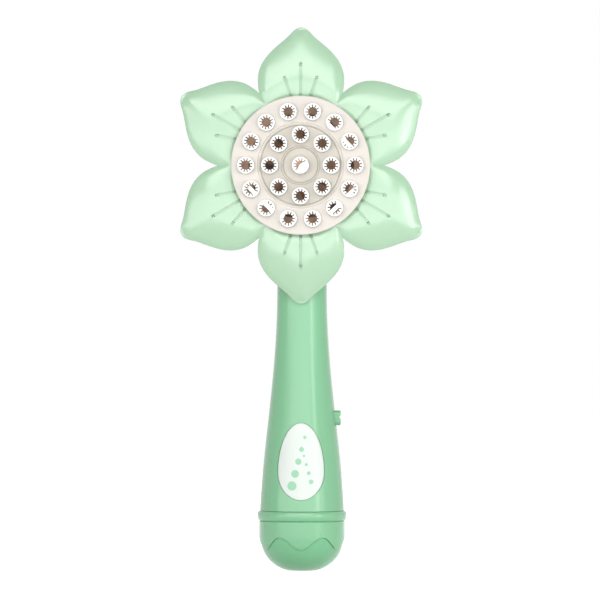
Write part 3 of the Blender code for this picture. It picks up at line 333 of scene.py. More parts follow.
def wired(tree: Tree, kind: str, output: str, inputs: dict[str | int, Value],
          **settings: str | Tree) -> Socket:
    """Add a shader node.

    Args:
        tree: Node tree that it goes into.
        kind: Type of the node, without ShaderNode.
        output: Name of the output that is wanted.
        inputs: What each input gets.
        settings: Attributes of the node.

    Returns:
        The output socket.
    """
    node = tree.nodes.new(f"ShaderNode{kind}")
    for name, value in settings.items():
        setattr(node, name, value)
    feed(tree, node, inputs)
    return node.outputs[output]


def combined(tree: Tree, operation: str, *values: Value) -> Socket:
    """Result of a Math node."""
    return wired(tree, "Math", "Value", dict(enumerate(values)), operation=operation)


class Effects:
    """Shader node groups that several finishes share."""

    @staticmethod
    def group(name: str, inputs: dict[str, Value]) -> Tree:
        """Start a node group that gives a colour, a roughness and a height.

        Args:
            name: Name of the group.
            inputs: Default value of each input; a tuple means a colour.

        Returns:
            The new node group, with its nodes "in" and "out".
        """
        tree = bpy.data.node_groups.new(name, "ShaderNodeTree")
        for label, value in inputs.items():
            kind = "NodeSocketColor" if isinstance(value, tuple) else "NodeSocketFloat"
            socket = tree.interface.new_socket(label, in_out="INPUT", socket_type=kind)
            socket.default_value = value
        for label, kind in (("Color", "Color"), ("Roughness", "Float"), ("Height", "Float")):
            tree.interface.new_socket(label, in_out="OUTPUT", socket_type=f"NodeSocket{kind}")
        tree.nodes.new("NodeGroupInput").name = "in"
        tree.nodes.new("NodeGroupOutput").name = "out"
        return tree

    @staticmethod
    def noise(tree: Tree, scale: float, detail: float, stretch: Triple) -> Socket:
        """Noise on Object coordinates, stretched by a Mapping node."""
        place = wired(tree, "TexCoord", "Object", {})
        place = wired(tree, "Mapping", "Vector", {"Vector": place, "Scale": stretch})
        return wired(tree, "TexNoise", "Fac", {"Vector": place, "Scale": scale,
                                               "Detail": detail})

    @staticmethod
    def ranged(tree: Tree, value: Socket, low: float, high: float) -> Socket:
        """Spread the middle of a noise over a range."""
        return wired(tree, "MapRange", "Result", {"Value": value, "From Min": 0.3, "To Min": low,
                                                  "From Max": 0.7, "To Max": high})

    @classmethod
    def moulding(cls) -> Tree:
        """Moulded plastic: slow flow tone, fine grain and uneven gloss."""
        if "moulding" in bpy.data.node_groups:
            return bpy.data.node_groups["moulding"]
        tree = cls.group("moulding", {"Color": (0.8, 0.8, 0.8, 1.0), "Tone": 0.03,
                                      "Roughness": 0.3, "Spread": 0.05})
        given = tree.nodes["in"].outputs
        flow = cls.ranged(tree, cls.noise(tree, 26.0, 2.0, (1.0, 1.0, 0.55)), -1.0, 1.0)
        wear = cls.ranged(tree, cls.noise(tree, 190.0, 5.0, (1.0, 1.0, 1.6)), -1.0, 1.0)
        tone = combined(tree, "MULTIPLY_ADD", flow, given["Tone"], 1.0)
        gloss = combined(tree, "MULTIPLY_ADD", wear, given["Spread"], given["Roughness"])
        tint = wired(tree, "HueSaturation", "Color", {"Color": given["Color"], "Value": tone})
        feed(tree, tree.nodes["out"], {"Color": tint, "Roughness": gloss,
                                       "Height": cls.noise(tree, 2600.0, 3.0, (1.0, 1.0, 1.0))})
        return tree

    @classmethod
    def drawing(cls) -> Tree:
        """Drawn metal: fine lines along Z with small changes of gloss."""
        if "drawing" in bpy.data.node_groups:
            return bpy.data.node_groups["drawing"]
        tree = cls.group("drawing", {"Color": (0.6, 0.6, 0.6, 1.0), "Roughness": 0.3})
        given = tree.nodes["in"].outputs
        lines = cls.noise(tree, 900.0, 4.0, (1.0, 1.0, 0.03))
        stain = cls.ranged(tree, cls.noise(tree, 160.0, 3.0, (1.0, 1.0, 1.0)), 0.88, 1.06)
        tint = wired(tree, "HueSaturation", "Color", {"Color": given["Color"], "Value": stain})
        gloss = combined(tree, "ADD", given["Roughness"], cls.ranged(tree, lines, -0.08, 0.08))
        feed(tree, tree.nodes["out"], {"Color": tint, "Roughness": gloss, "Height": lines})
        return tree


@dataclass(frozen=True)
class Finish:
    """A finish of one kind of surface.

    Attributes:
        name: Name of the material.
        colour: Base colour, linear.
        roughness: Middle of the roughness.
        tone: How much the colour's value changes over the surface.
        spread: How much the roughness changes over the surface.
        grain: Depth of the fine grain in millimetres.
        metal: Whether the surface is metal.
        coat: Weight of the clear, glossy skin.
        sheen: Index of refraction of that skin.
    """

    name: str
    colour: Triple
    roughness: float = 0.3
    tone: float = 0.03
    spread: float = 0.05
    grain: float = 0.004
    metal: bool = False
    coat: float = 0.0
    sheen: float = 1.5

    def material(self) -> bpy.types.Material:
        """The material of the finish's name, made if the scene has none."""
        if self.name in bpy.data.materials:
            return bpy.data.materials[self.name]
        made = bpy.data.materials.new(self.name)
        made.use_nodes = True
        tree = made.node_tree
        effect = tree.nodes.new("ShaderNodeGroup")
        effect.node_tree = Effects.drawing() if self.metal else Effects.moulding()
        feed(tree, effect, {"Color": (*self.colour, 1.0), "Roughness": self.roughness})
        if not self.metal:
            feed(tree, effect, {"Tone": self.tone, "Spread": self.spread})
        bump = wired(tree, "Bump", "Normal", {
            "Strength": BUMP_STRENGTH, "Distance": self.grain * MM,
            "Height": effect.outputs["Height"]})
        feed(tree, tree.nodes["Principled BSDF"], {
            "Base Color": self.paint(tree, effect.outputs["Color"]),
            "Roughness": effect.outputs["Roughness"], "Metallic": float(self.metal),
            "Coat Weight": self.coat, "Coat Roughness": COAT_ROUGHNESS, "Coat IOR": self.sheen,
            "Normal": bump})
        return made

    def paint(self, tree: Tree, colour: Socket) -> Socket:
        """Colour of the surface; a printed finish adds its own."""
        return colour


@dataclass(frozen=True)
class DottedFinish(Finish):
    """Plastic or film with round areas of a second tone, either printed dots or a round patch of
    painted shade.

    Attributes:
        print_and_shade: Colour of the dots, linear; print on the label, painted shade on the face
            plate.
        dots: Centre (x, z) and radius of each dot in millimetres.
    """

    print_and_shade: Triple = (0.5, 0.8, 0.6)
    dots: tuple[Triple, ...] = ()

    def paint(self, tree: Tree, colour: Socket) -> Socket:
        """Mix the dot colour, print or painted shade, over the plain colour where a dot is."""
        place = wired(tree, "TexCoord", "Object", {})
        flat = wired(tree, "VectorMath", "Vector", {0: place, 1: (1.0, 0.0, 1.0)},
                     operation="MULTIPLY")
        cover: Value = 0.0
        for x, z, radius in self.dots:
            reach = wired(tree, "VectorMath", "Value", {0: flat, 1: (x * MM, 0.0, z * MM)},
                          operation="DISTANCE")
            dot = wired(tree, "MapRange", "Result", {
                "Value": reach, "From Min": (radius + DOT_EDGE) * MM,
                "From Max": (radius - DOT_EDGE) * MM})
            cover = combined(tree, "MAXIMUM", cover, dot)
        return wired(tree, "Mix", "Result", {"Factor": cover, "A": colour, "B": (*self.print_and_shade, 1.0)},
                     data_type="RGBA")


PETAL = Finish("petal_mint", (0.33, 0.535, 0.35), 0.20, 0.01, 0.01, 0.0, coat=1.0, sheen=1.65)
MINT = Finish("handle_mint", (0.185, 0.465, 0.25), 0.20, 0.01, 0.01, 0.0, coat=0.35)
# The foot's mint is the handle's mint made darker: painted shade of the dome, which faces down.
SHADED_FOOT_MINT = Finish("foot_mint_painted_shade", (0.17, 0.46, 0.24), 0.20, 0.01, 0.01, 0.0, coat=0.1)
# The button's mint is the handle's mint made darker: painted shade of the button's sideways face.
SHADED_BUTTON_MINT = Finish("button_mint_painted_shade", (0.13, 0.38, 0.19), 0.20, 0.01, 0.01, 0.0, coat=0.35)
WHITE = Finish("nozzle_white", (0.86, 0.86, 0.84), 0.30, 0.01, 0.03, 0.001)
BROWN = Finish("duct_brown", (0.27, 0.165, 0.10), 0.38, 0.04, 0.05)
BLACK = Finish("black_plastic", (0.025, 0.025, 0.028), 0.42, 0.05, 0.08, 0.01)
RUBBER = Finish("seal_rubber", (0.02, 0.02, 0.02), 0.72, 0.08, 0.08, 0.02)
BOARD = Finish("board_green", (0.02, 0.16, 0.06), 0.36, 0.06, 0.06, 0.006)
CELL_WRAP = Finish("cell_wrap", (0.03, 0.03, 0.035), 0.26, 0.02, 0.04, 0.001)
STEEL = Finish("drawn_steel", (0.56, 0.56, 0.57), 0.30, metal=True)
ZINC = Finish("zinc_plate", (0.52, 0.52, 0.54), 0.34, metal=True)
NICKEL = Finish("nickel_plate", (0.66, 0.64, 0.60), 0.20, metal=True)
RED_LEAD = Finish("red_insulation", (0.42, 0.02, 0.015), 0.40)
BLACK_LEAD = Finish("black_insulation", (0.02, 0.02, 0.02), 0.40)


def published(item: Thing, finish: Finish, nodes: Sequence[str],
              space: Matrix = UPRIGHT, body: Body = Body.HOUSING, smooth: float = 35.0) -> None:
    """Place a finished piece in the part and dress it.

    Args:
        item: The piece, in millimetres.
        finish: What it is made of.
        nodes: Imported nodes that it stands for.
        space: The space that it was modelled in.
        body: The body that it moves with.
        smooth: Angle in degrees above which an edge stays sharp.
    """
    item.data.transform(Matrix.Scale(MM, 4) @ space)
    item.data.materials.clear()
    item.data.materials.append(finish.material())
    item.data.shade_smooth()
    item.data.set_sharp_from_angle(angle=math.radians(smooth))
    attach(item, body.value)
    if nodes:
        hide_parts(*nodes)
    log.info("%s: %d faces on %s", item.name, len(item.data.polygons), body.value)


# Sub-assemblies

@dataclass
class Handle:
    """Outline of the round handle, in millimetres."""

    low: Point = (37.8, 26.6)
    low_pull: Point = (83.7, 24.3)
    high_pull: Point = (125.2, 15.3)
    high: Point = (180.0, 15.6)
    neck_top: float = 226.0
    neck_flare: float = 1.9
    rings: int = 32
    segments: int = 128

    def outline(self) -> list[Point]:
        """(radius, height) from the bead up into the head drum."""
        controls = (self.low, self.low_pull, self.high_pull, self.high)
        points = [bezier(controls, step / self.rings) for step in range(self.rings + 1)]
        return [(r, h) for h, r in points] + [(self.high[1] + self.neck_flare, self.neck_top)]

    def radius(self, height: float) -> float:
        """Radius at a height above the bead."""
        return between([(level, radius) for radius, level in self.outline()], height)

    def skin(self, offset: float) -> Thing:
        """A solid of the handle's outline, grown or shrunk by an offset."""
        outline = [(radius + offset, height) for radius, height in self.outline()]
        return turned("handle_skin", [(0, outline[0][1]), *outline, (0, outline[-1][1])],
                      self.segments)


@dataclass
class Label:
    """Egg-shaped label that is set into the handle's front."""

    handle: Handle
    half_width: float = 14.75
    middle: float = 62.4
    below: float = 17.7
    above: float = 30.9
    sink: float = 0.4
    wall: float = 0.8
    pocket: float = 1.5
    points: int = 96
    near: float = -8.0
    far: float = -40.0

    def block(self, shrink: float = 0.0) -> Thing:
        """The egg as a block in front of the handle's axis."""
        outline = []
        for step in range(self.points):
            angle = TURN * step / self.points
            tall = self.above if math.sin(angle) > 0 else self.below
            outline.append(((self.half_width - shrink) * math.cos(angle),
                            -self.middle - (tall - shrink) * math.sin(angle)))
        return prisms("egg", outline, self.far, self.near, [along_y(0, 0)])

    def dots(self) -> tuple[Triple, ...]:
        """Plain dots that rise up the label in two leaning rows."""
        rows = []
        for step in range(5):
            size = 2.9 - 0.45 * step
            rows.append((-5.6 + 2.0 * step, self.middle - 8.6 + 7.6 * step, size))
            rows.append((6.4 - 1.5 * step, self.middle - 6.0 + 5.4 * step, 0.5 * size))
        return tuple(rows)

    def build(self) -> None:
        """Shape the label plate and print its dots."""
        plate = self.block(GAP)
        plate.name = "label_egg"
        carved(plate, self.handle.skin(-self.sink), "INTERSECT")
        carved(plate, self.handle.skin(-self.sink - self.wall))
        # The film is white with a slight green tint; the tint is painted reflection of the mint
        # handle and petals round it.
        film = DottedFinish("label_film_painted_reflection", (0.67, 0.72, 0.68), 0.24, 0.01, 0.03, 0.0,
                            print_and_shade=(0.28, 0.56, 0.36), dots=self.dots())
        published(plate, film, ["label_plate"])


@dataclass
class PowerButton:
    """Square button cap with a finger groove, on the handle's right side."""

    height: float = 96.0
    half: float = 4.7
    corner: float = 2.0
    flange: float = 5.8
    back: float = 15.5
    flange_face: float = 16.7
    face: float = 24.4
    groove_low: float = -0.2
    groove_width: float = 1.3
    groove_depth: float = 0.7
    rounding: float = 0.55

    def build(self) -> None:
        """Shape the cap and its groove."""
        cap = prisms("button_cap", rounded_square(self.half, self.corner), self.back, self.face,
                     [along_x(self.height)])
        collar = prisms("collar", rounded_square(self.flange, self.corner), self.back,
                        self.flange_face, [along_x(self.height)])
        carved(cap, collar, "UNION")
        low = self.height + self.groove_low
        carved(cap, block((self.face - self.groove_depth, -10, low),
                          (30, 10, low + self.groove_width)))
        eased(cap, self.rounding, lambda edge: min(v.co.x for v in edge.verts) > self.face - 0.1)
        # The cap's darker mint is painted shade of its sideways face.
        published(cap, SHADED_BUTTON_MINT, ["power_button"], body=Body.BUTTON)


@dataclass
class Housing:
    """Front and rear housing halves, the battery door and the screws."""

    handle: Handle
    label: Label
    button: PowerButton
    wall: float = 2.4
    seam: float = 0.3
    spigot_low: float = 30.6
    spigot_radius: float = 25.2
    drum_radius: float = 43.6
    drum_front: float = 18.6
    drum_back: float = -22.0
    drum_corner: float = 14.0
    drum_bore: float = 40.2
    recess: float = 41.6
    ledge: float = 15.5
    segments: int = 144
    boss: float = 3.1
    shank: float = 1.0
    screw_head: float = 2.0
    screw_tip: float = 9.0
    head_seat: float = 12.0
    handle_seat: float = 9.0
    head_circle: float = 38.3
    head_angles: tuple[int, ...] = (40, 140, 220, 320)
    handle_heights: tuple[float, ...] = (112.0, 165.0)
    slot_pitch: float = 5.4
    slot_width: float = 2.4
    slot_reach: float = 21.0
    slot_pairs: int = 3
    door_half: float = 12.5
    door_low: float = 40.8
    door_high: float = 98.0
    door_screw: float = 93.6
    door_boss: Triple = (3.6, 18.1, 20.0)
    door_bore: float = 1.5
    door_sink: Point = (2.9, 19.6)
    core: float = 10.0
    outside: float = 30.0

    def head_places(self) -> list[Point]:
        """Centres of the head's screws in the head's plane."""
        return [polar(self.head_circle, math.radians(degrees)) for degrees in self.head_angles]

    @staticmethod
    def to_head(item: Thing) -> Thing:
        """Move a tool from the head's space into the handle's."""
        item.data.transform(HEAD)
        return item

    @staticmethod
    def corner(radius: float, back: float, size: float) -> list[Point]:
        """Quarter round from the drum's flat back to its side."""
        return arc(size, -TURN / 4, 0.0, 10, (radius - size, back + size))

    def outer(self) -> Thing:
        """The whole housing as one solid form."""
        outline = [(0, self.spigot_low), (self.spigot_radius, self.spigot_low),
                   (self.spigot_radius, self.handle.low[0])]
        outline += self.handle.outline() + [(0, self.handle.neck_top)]
        form = turned("housing", outline, self.handle.segments)
        drum = [(0, self.drum_back)]
        drum += self.corner(self.drum_radius, self.drum_back, self.drum_corner)
        drum += softened([(self.drum_radius, self.drum_front - 4),
                          (self.drum_radius, self.drum_front), (0, self.drum_front)], 0.5, 3)
        return carved(form, self.to_head(turned("drum", drum, self.segments)), "UNION")

    def inner(self) -> Thing:
        """The hollow of the handle and the head."""
        core = [(radius - self.wall, height) for radius, height in self.handle.outline()]
        low, high = self.spigot_low - self.wall, self.handle.neck_top - self.wall
        spigot = self.spigot_radius - self.wall
        outline = [(0, low), (spigot, low), (spigot, self.handle.low[0]), *core[1:-1],
                   (core[-1][0], high), (0, high)]
        hollow = turned("hollow", outline, 64)
        back = self.drum_back + self.wall
        drum = [(0, back)] + self.corner(self.drum_bore, back, self.drum_corner - self.wall)
        drum += [(self.drum_bore, self.ledge), (self.recess, self.ledge),
                 (self.recess, self.drum_front + self.wall), (0, self.drum_front + self.wall)]
        return carved(hollow, self.to_head(turned("drum_hollow", drum, 96)), "UNION")

    def slots(self) -> Thing:
        """Parallel round-ended intake slots, shorter towards the sides."""
        half = self.slot_width / 2
        bm = bmesh.new()
        for column in range(-self.slot_pairs, self.slot_pairs + 1):
            x = column * self.slot_pitch
            reach = math.sqrt(self.slot_reach ** 2 - x ** 2) - half
            top = arc(half, 0.0, TURN / 2, 8, (x, reach))
            prism(bm, top + [(2 * x - px, -py) for px, py in top],
                  self.drum_back - self.wall, self.drum_back + 2 * self.wall)
        return self.to_head(linked("slots", bm))

    def screw_tools(self) -> list[tuple[Thing, str]]:
        """Bosses to add, then counterbores and bores to cut."""
        head = [Matrix.Translation((x, y, 0)) for x, y in self.head_places()]
        levels = [along_y(0, height) for height in self.handle_heights]
        post = circle(self.boss, 24)
        wide, narrow = circle(self.screw_head + GAP, 32), circle(self.shank + GAP, 16)
        tools = []
        for height, level in zip(self.handle_heights, levels):
            reach = self.handle.radius(height) - self.wall / 2
            tools.append((prisms("boss", post, -reach, reach, [level]), "UNION"))
        posts = prisms("bosses", post, self.drum_back + 5, self.ledge - 1.3, head)
        sinks = prisms("sinks", wide, -self.outside, -self.head_seat, head)
        bores = prisms("bores", narrow, -self.outside, self.screw_tip + GAP, head)
        return tools + [
            (self.to_head(posts), "UNION"),
            (prisms("sink", wide, self.handle_seat, self.outside, levels), "DIFFERENCE"),
            (prisms("bore", narrow, -self.screw_tip - GAP, self.outside, levels), "DIFFERENCE"),
            (self.to_head(sinks), "DIFFERENCE"), (self.to_head(bores), "DIFFERENCE")]

    def build_shells(self) -> None:
        """Both halves, cut from one hollow form."""
        form = carved(self.outer(), self.inner())
        for tool, operation in self.screw_tools():
            carved(form, tool, operation)
        carved(form, self.slots())
        carved(form, carved(self.label.block(), self.handle.skin(-self.label.pocket)))
        window = rounded_square(self.button.half + GAP, self.button.corner)
        carved(form, prisms("window", window, self.button.back, self.outside,
                            [along_x(self.button.height)]))
        front = placed("front_shell", form.data.copy())
        form.name = "rear_shell"
        edge, tall = 120.0, 400.0
        carved(front, block((-edge, -edge, -edge), (edge, -self.seam / 2, tall)), "INTERSECT")
        carved(form, block((-edge, self.seam / 2, -edge), (edge, edge, tall)), "INTERSECT")
        carved(form, block((-self.door_half - GAP, self.core, self.door_low - GAP),
                           (self.door_half + GAP, edge, self.door_high + GAP)))
        for shell, node in ((front, "front_housing"), (form, "rear_housing")):
            published(shell, MINT, [node])

    def build_door(self) -> None:
        """Battery door with the boss and the sunk hole of its screw."""
        door = self.handle.skin(0.0)
        door.name = "door_panel"
        carved(door, self.handle.skin(-self.wall))
        carved(door, block((-self.door_half, self.core, self.door_low),
                           (self.door_half, 90, self.door_high)), "INTERSECT")
        here = [along_y(0, self.door_screw)]
        radius, low, high = self.door_boss
        carved(door, prisms("boss", circle(radius, 32), low, high, here), "UNION")
        carved(door, prisms("bore", circle(self.door_bore, 20), self.core, self.outside, here))
        radius, low = self.door_sink
        carved(door, prisms("sink", circle(radius, 32), low, self.outside, here))
        published(door, MINT, ["battery_door"], body=Body.DOOR)

    @staticmethod
    def screw(name: str, profile: Sequence[Point], top: float, head: float) -> Thing:
        """A turned screw with a cross recess in its head."""
        item = turned(name, softened(profile, 0.25, 3), 32)
        reach, half = 0.62 * head, 0.13 * head
        for x, y in ((reach, half), (half, reach)):
            carved(item, block((-x, -y, top - 0.8), (x, y, top + 1)))
        return item

    def build_screws(self) -> None:
        """The six housing screws and the door's screw."""
        places = [(HEAD @ Matrix.Translation((x, y, 0)) @ Matrix.Rotation(math.pi, 4, "X"),
                   self.head_seat) for x, y in self.head_places()]
        places += [(along_y(0, height), self.handle_seat) for height in self.handle_heights]
        for number, (space, seat) in enumerate(places, 1):
            low = seat + GAP
            profile = [(0, -self.screw_tip), (self.shank, 1 - self.screw_tip), (self.shank, low),
                       (self.screw_head, low), (self.screw_head * 0.9, low + 1.2), (0, low + 1.6)]
            item = self.screw(f"screw_{number}", profile, low + 1.6, self.screw_head)
            published(item, ZINC, [f"housing_screw_{number}"], space)
        profile = [(0, 12.0), (1.1, 12.0), (1.1, 19.9), (2.5, 19.9), (2.2, 20.8), (0, 21.1)]
        item = self.screw("screw_of_door", profile, 21.1, 2.5)
        published(item, ZINC, ["door_screw"], along_y(0, self.door_screw),
                  Body.DOOR)


@dataclass
class Foot:
    """Domed cap and the collar with its bead and wavy skirt."""

    flat: float = 8.0
    dome: float = 26.0
    height: float = 21.8
    neck: float = 24.6
    cap_top: float = 30.2
    wall: float = 2.0
    lift: float = 1.1
    bead: float = 28.15
    bead_low: float = 31.7
    bead_high: float = 37.5
    bead_power: float = 0.7
    dome_powers: Point = (2.35, 0.62)
    top_radius: float = 26.6
    spigot: float = 25.2
    waves: int = 6
    wave_middle: float = 17.5
    wave_height: float = 3.8
    columns: int = 288

    def dome_radius(self, height: float) -> float:
        """Outline of the dome above its small flat."""
        part = min(height / self.height, 1.0)
        first, last = self.dome_powers
        return self.flat + (self.dome - self.flat) * (1 - (1 - part) ** first) ** last

    def build_cap(self) -> None:
        """The domed cap."""
        levels = [self.height * (step / 28) ** 1.7 for step in range(29)]
        outer = [(self.dome_radius(level), level) for level in levels]
        outer += [(self.neck, self.height), (self.neck, self.cap_top)]
        inner = [(self.neck - self.wall, self.cap_top)]
        inner += [(self.dome_radius(level - self.wall) - self.wall, level)
                  for level in (0.85 * self.height, 0.3 * self.height)]
        cap = turned("foot_cap", [(0, 0)] + outer + inner + [(0, 0.3 * self.height)], 128)
        # The cap's darker mint is painted shade of its downward-facing dome.
        published(cap, SHADED_FOOT_MINT, ["base_cap"])

    def section(self, angle: float) -> list[Point]:
        """(radius, height) round the collar's wall at an angle off the front."""
        edge = self.wave_middle - self.wave_height * math.cos(self.waves * angle)
        shelf = self.height + GAP
        rise = [edge + (shelf - edge) * step / 8 for step in range(1, 9)]
        skirt = [(self.dome_radius(edge) + self.lift - 0.45, edge),
                 (self.dome_radius(edge + 0.15) + self.lift - 0.1, edge + 0.15)]
        skirt += [(self.dome_radius(level) + self.lift, level) for level in rise]
        middle = (self.bead_low + self.bead_high) / 2
        half = (self.bead_high - self.bead_low) / 2
        waist = self.dome + self.lift
        bead = [(waist, self.bead_low - 0.9), (waist - 0.5, self.bead_low - 0.3)]
        for step in range(1, 16):
            turn = math.pi * (step / 16 - 0.5)
            root = waist if turn < 0 else self.top_radius
            bead.append((root + (self.bead - root) * math.cos(turn) ** self.bead_power,
                         middle + half * math.sin(turn)))
        inside = [(self.top_radius, self.bead_high), (self.spigot + GAP, self.bead_high),
                  (self.spigot + GAP, self.cap_top), (self.neck + GAP, self.cap_top),
                  (self.neck + GAP, shelf), (self.dome + GAP, shelf - 0.05)]
        fall = [shelf - (shelf - edge) * step / 5 for step in range(1, 6)]
        inside += [(self.dome_radius(level) + GAP, level) for level in fall]
        return skirt + bead + inside

    def build_collar(self) -> None:
        """The collar, wrapped from one section per step; the first is at the front."""
        steps = [TURN * column / self.columns for column in range(self.columns)]
        sections = [upright(self.section(step), step - math.pi / 2) for step in steps]
        collar = wrapped("foot_collar", sections)
        published(collar, MINT, ["base_collar"])


@dataclass
class Flower:
    """Six domed petals in one moulding, with three grooves on each."""

    petals: int = 6
    tip: tuple[Point, ...] = ((86.6, 0.0), (86.6, 2.6), (85.0, 4.4), (82.6, 6.6))
    flank: tuple[Point, ...] = ((82.6, 6.6), (76.2, 11.9), (69.5, 26.3), (54.5, 27.1))
    side: tuple[Point, ...] = ((54.5, 27.1), (50.5, 27.1), (47.6, 26.7), (45.3, 26.15))
    tip_steps: int = 10
    flank_steps: int = 22
    side_steps: int = 8
    bore: float = 41.0
    collar: float = 43.8
    collar_front: float = 26.2
    seat: float = 18.9
    rear: float = 43.3
    notch_depth: float = 23.6
    tip_depth: float = 18.6
    border: float = 4.6
    border_rise: float = 0.75
    dome: float = 22.0
    dome_rise: float = 3.3
    keel: float = 2.4
    wall: float = 3.0
    edge_wall: float = 1.4
    front_rings: int = 44
    back_rings: int = 12
    groove_half: float = 1.0
    groove_depth: float = 1.7
    dot_depth: float = 0.35
    dot_length: float = 2.0
    bar_height: float = 4.0
    rim_power: float = 0.8
    grooves: tuple[tuple[Point, Point], ...] = (((42.0, 0.0), (64.6, 0.0)),
                                                ((42.0, 5.6), (56.1, 10.5)),
                                                ((42.0, -5.6), (56.1, -10.5)))

    def half_outline(self) -> list[Point]:
        """(angle, radius) of half a petal, from its tip to the notch."""
        curves = ((self.tip, self.tip_steps), (self.flank, self.flank_steps),
                  (self.side, self.side_steps))
        points = [bezier(curve, step / steps) for curve, steps in curves for step in range(steps)]
        points.append(self.side[-1])
        return [(math.atan2(y, x), math.hypot(x, y)) for x, y in points]

    def middles(self) -> list[float]:
        """Direction of every petal's own axis."""
        return [TURN * (number / self.petals + 0.25) for number in range(self.petals)]

    def flank_distance(self, x: float, y: float) -> float:
        """Distance from a point to the petal's upper flank and the seam below its notch."""
        points = [Vector(polar(radius, angle)) for angle, radius in self.half_outline()]
        points.append(points[-1] * self.collar / points[-1].length)
        here = Vector((x, y))
        best = math.inf
        for start, end in zip(points, points[1:]):
            span = end - start
            part = max(0.0, min(1.0, (here - start).dot(span) / span.length_squared))
            best = min(best, (here - start - span * part).length)
        return best

    def inset(self, x: float, y: float) -> float:
        """Distance from the outline, rounded over where both flanks are as near."""
        both = [math.exp(-self.flank_distance(x, side) / self.keel) for side in (y, -y)]
        return max(0.0, -self.keel * math.log(sum(both)))

    def depth(self, angle: float, edge: float, inward: float) -> float:
        """Depth of the petal's front.

        Args:
            angle: Direction off the petal's own axis.
            edge: Edge radius in that direction.
            inward: Fraction of the way from the edge to the collar.

        Returns:
            Height over the head's middle plane.
        """
        notch = math.hypot(*self.side[-1])
        part = max(0.0, (edge - notch) / (self.tip[0][0] - notch))
        rim = self.notch_depth - (self.notch_depth - self.tip_depth) * part ** self.rim_power
        inset = self.inset(*polar(edge + (self.collar - edge) * inward, angle))
        border = 1 - (1 - min(inset / self.border, 1.0)) ** 2
        dome = 1 - (1 - min(inset / self.dome, 1.0)) ** 2
        rise = self.border_rise * border + self.dome_rise * dome
        return rim + (self.collar_front - rim) * inward + rise * (1 - inward ** 4)

    def section(self, angle: float, edge: float) -> list[Point]:
        """(radius, depth) round the moulding in one direction: front, bore, back."""
        front = [(0.0, 0.3), (0.004, 0.1)]
        front += [(0.012 + 0.988 * (step / self.front_rings) ** 1.25, 0.0)
                  for step in range(self.front_rings + 1)]
        collar = [(self.bore + 0.4, self.collar_front), (self.bore, 25.9), (self.bore, self.seat),
                  (self.rear, self.seat), (self.rear, self.notch_depth - 2.2)]
        back = [(0.85 * (1 - step / self.back_rings), self.wall)
                for step in range(self.back_rings)]
        skins = [[(edge + (self.collar - edge) * inward, self.depth(angle, edge, inward) - sink)
                  for inward, sink in side] for side in (front, back + [(0.0, self.edge_wall)])]
        return skins[0] + collar + skins[1]

    def sections(self) -> list[list[Vector]]:
        """The moulding's section at every step round it, each notch once."""
        half = [(angle, self.section(angle, edge)) for angle, edge in self.half_outline()]
        petal = [(-angle, section) for angle, section in reversed(half[1:-1])] + half
        return [upright(section, middle + angle) for middle in self.middles()
                for angle, section in petal]

    def groove(self, start: Point, end: Point, middle: float) -> Thing:
        """A round-ended bar whose underside follows the petal's front."""
        begin, finish = Vector(start), Vector(end)
        length = (finish - begin).length
        along = (finish - begin).normalized()
        across = Vector((-along.y, along.x))
        outline = self.half_outline()
        bm = bmesh.new()
        bmesh.ops.create_grid(bm, x_segments=40, y_segments=6, size=1.0)
        for vert in bm.verts:
            reach = (vert.co.x + 1) / 2 * length
            left = min(self.groove_half, length - reach)
            half = math.sqrt(max(self.groove_half ** 2 - (self.groove_half - left) ** 2, 1e-4))
            flat = begin + along * reach + across * (vert.co.y * half)
            angle = math.atan2(flat.y, flat.x)
            edge = between(outline, abs(angle))
            inward = min(1.0, (edge - flat.length) / (edge - self.collar))
            dot = self.dot_depth if length - reach < self.dot_length else 0.0
            floor = self.depth(angle, edge, inward) - self.groove_depth - dot
            vert.co = (flat.x, flat.y, floor)
        raised(bm, bm.faces[:], self.bar_height)
        bmesh.ops.rotate(bm, cent=(0, 0, 0), matrix=Matrix.Rotation(middle, 3, "Z"),
                         verts=bm.verts[:])
        return linked("groove", bm)

    def build(self) -> None:
        """Wrap the moulding and press its grooves, whose bars don't touch."""
        shell = wrapped("flower_petals", self.sections())
        bars, *others = [self.groove(start, end, middle) for middle in self.middles()
                         for start, end in self.grooves]
        with reworked(bars) as bm:
            for bar in others:
                bm.from_mesh(bar.data)
        for bar in others:
            bpy.data.objects.remove(bar, do_unlink=True)
        carved(shell, bars)
        published(shell, PETAL, ["petal_shell"], HEAD, smooth=28.0)


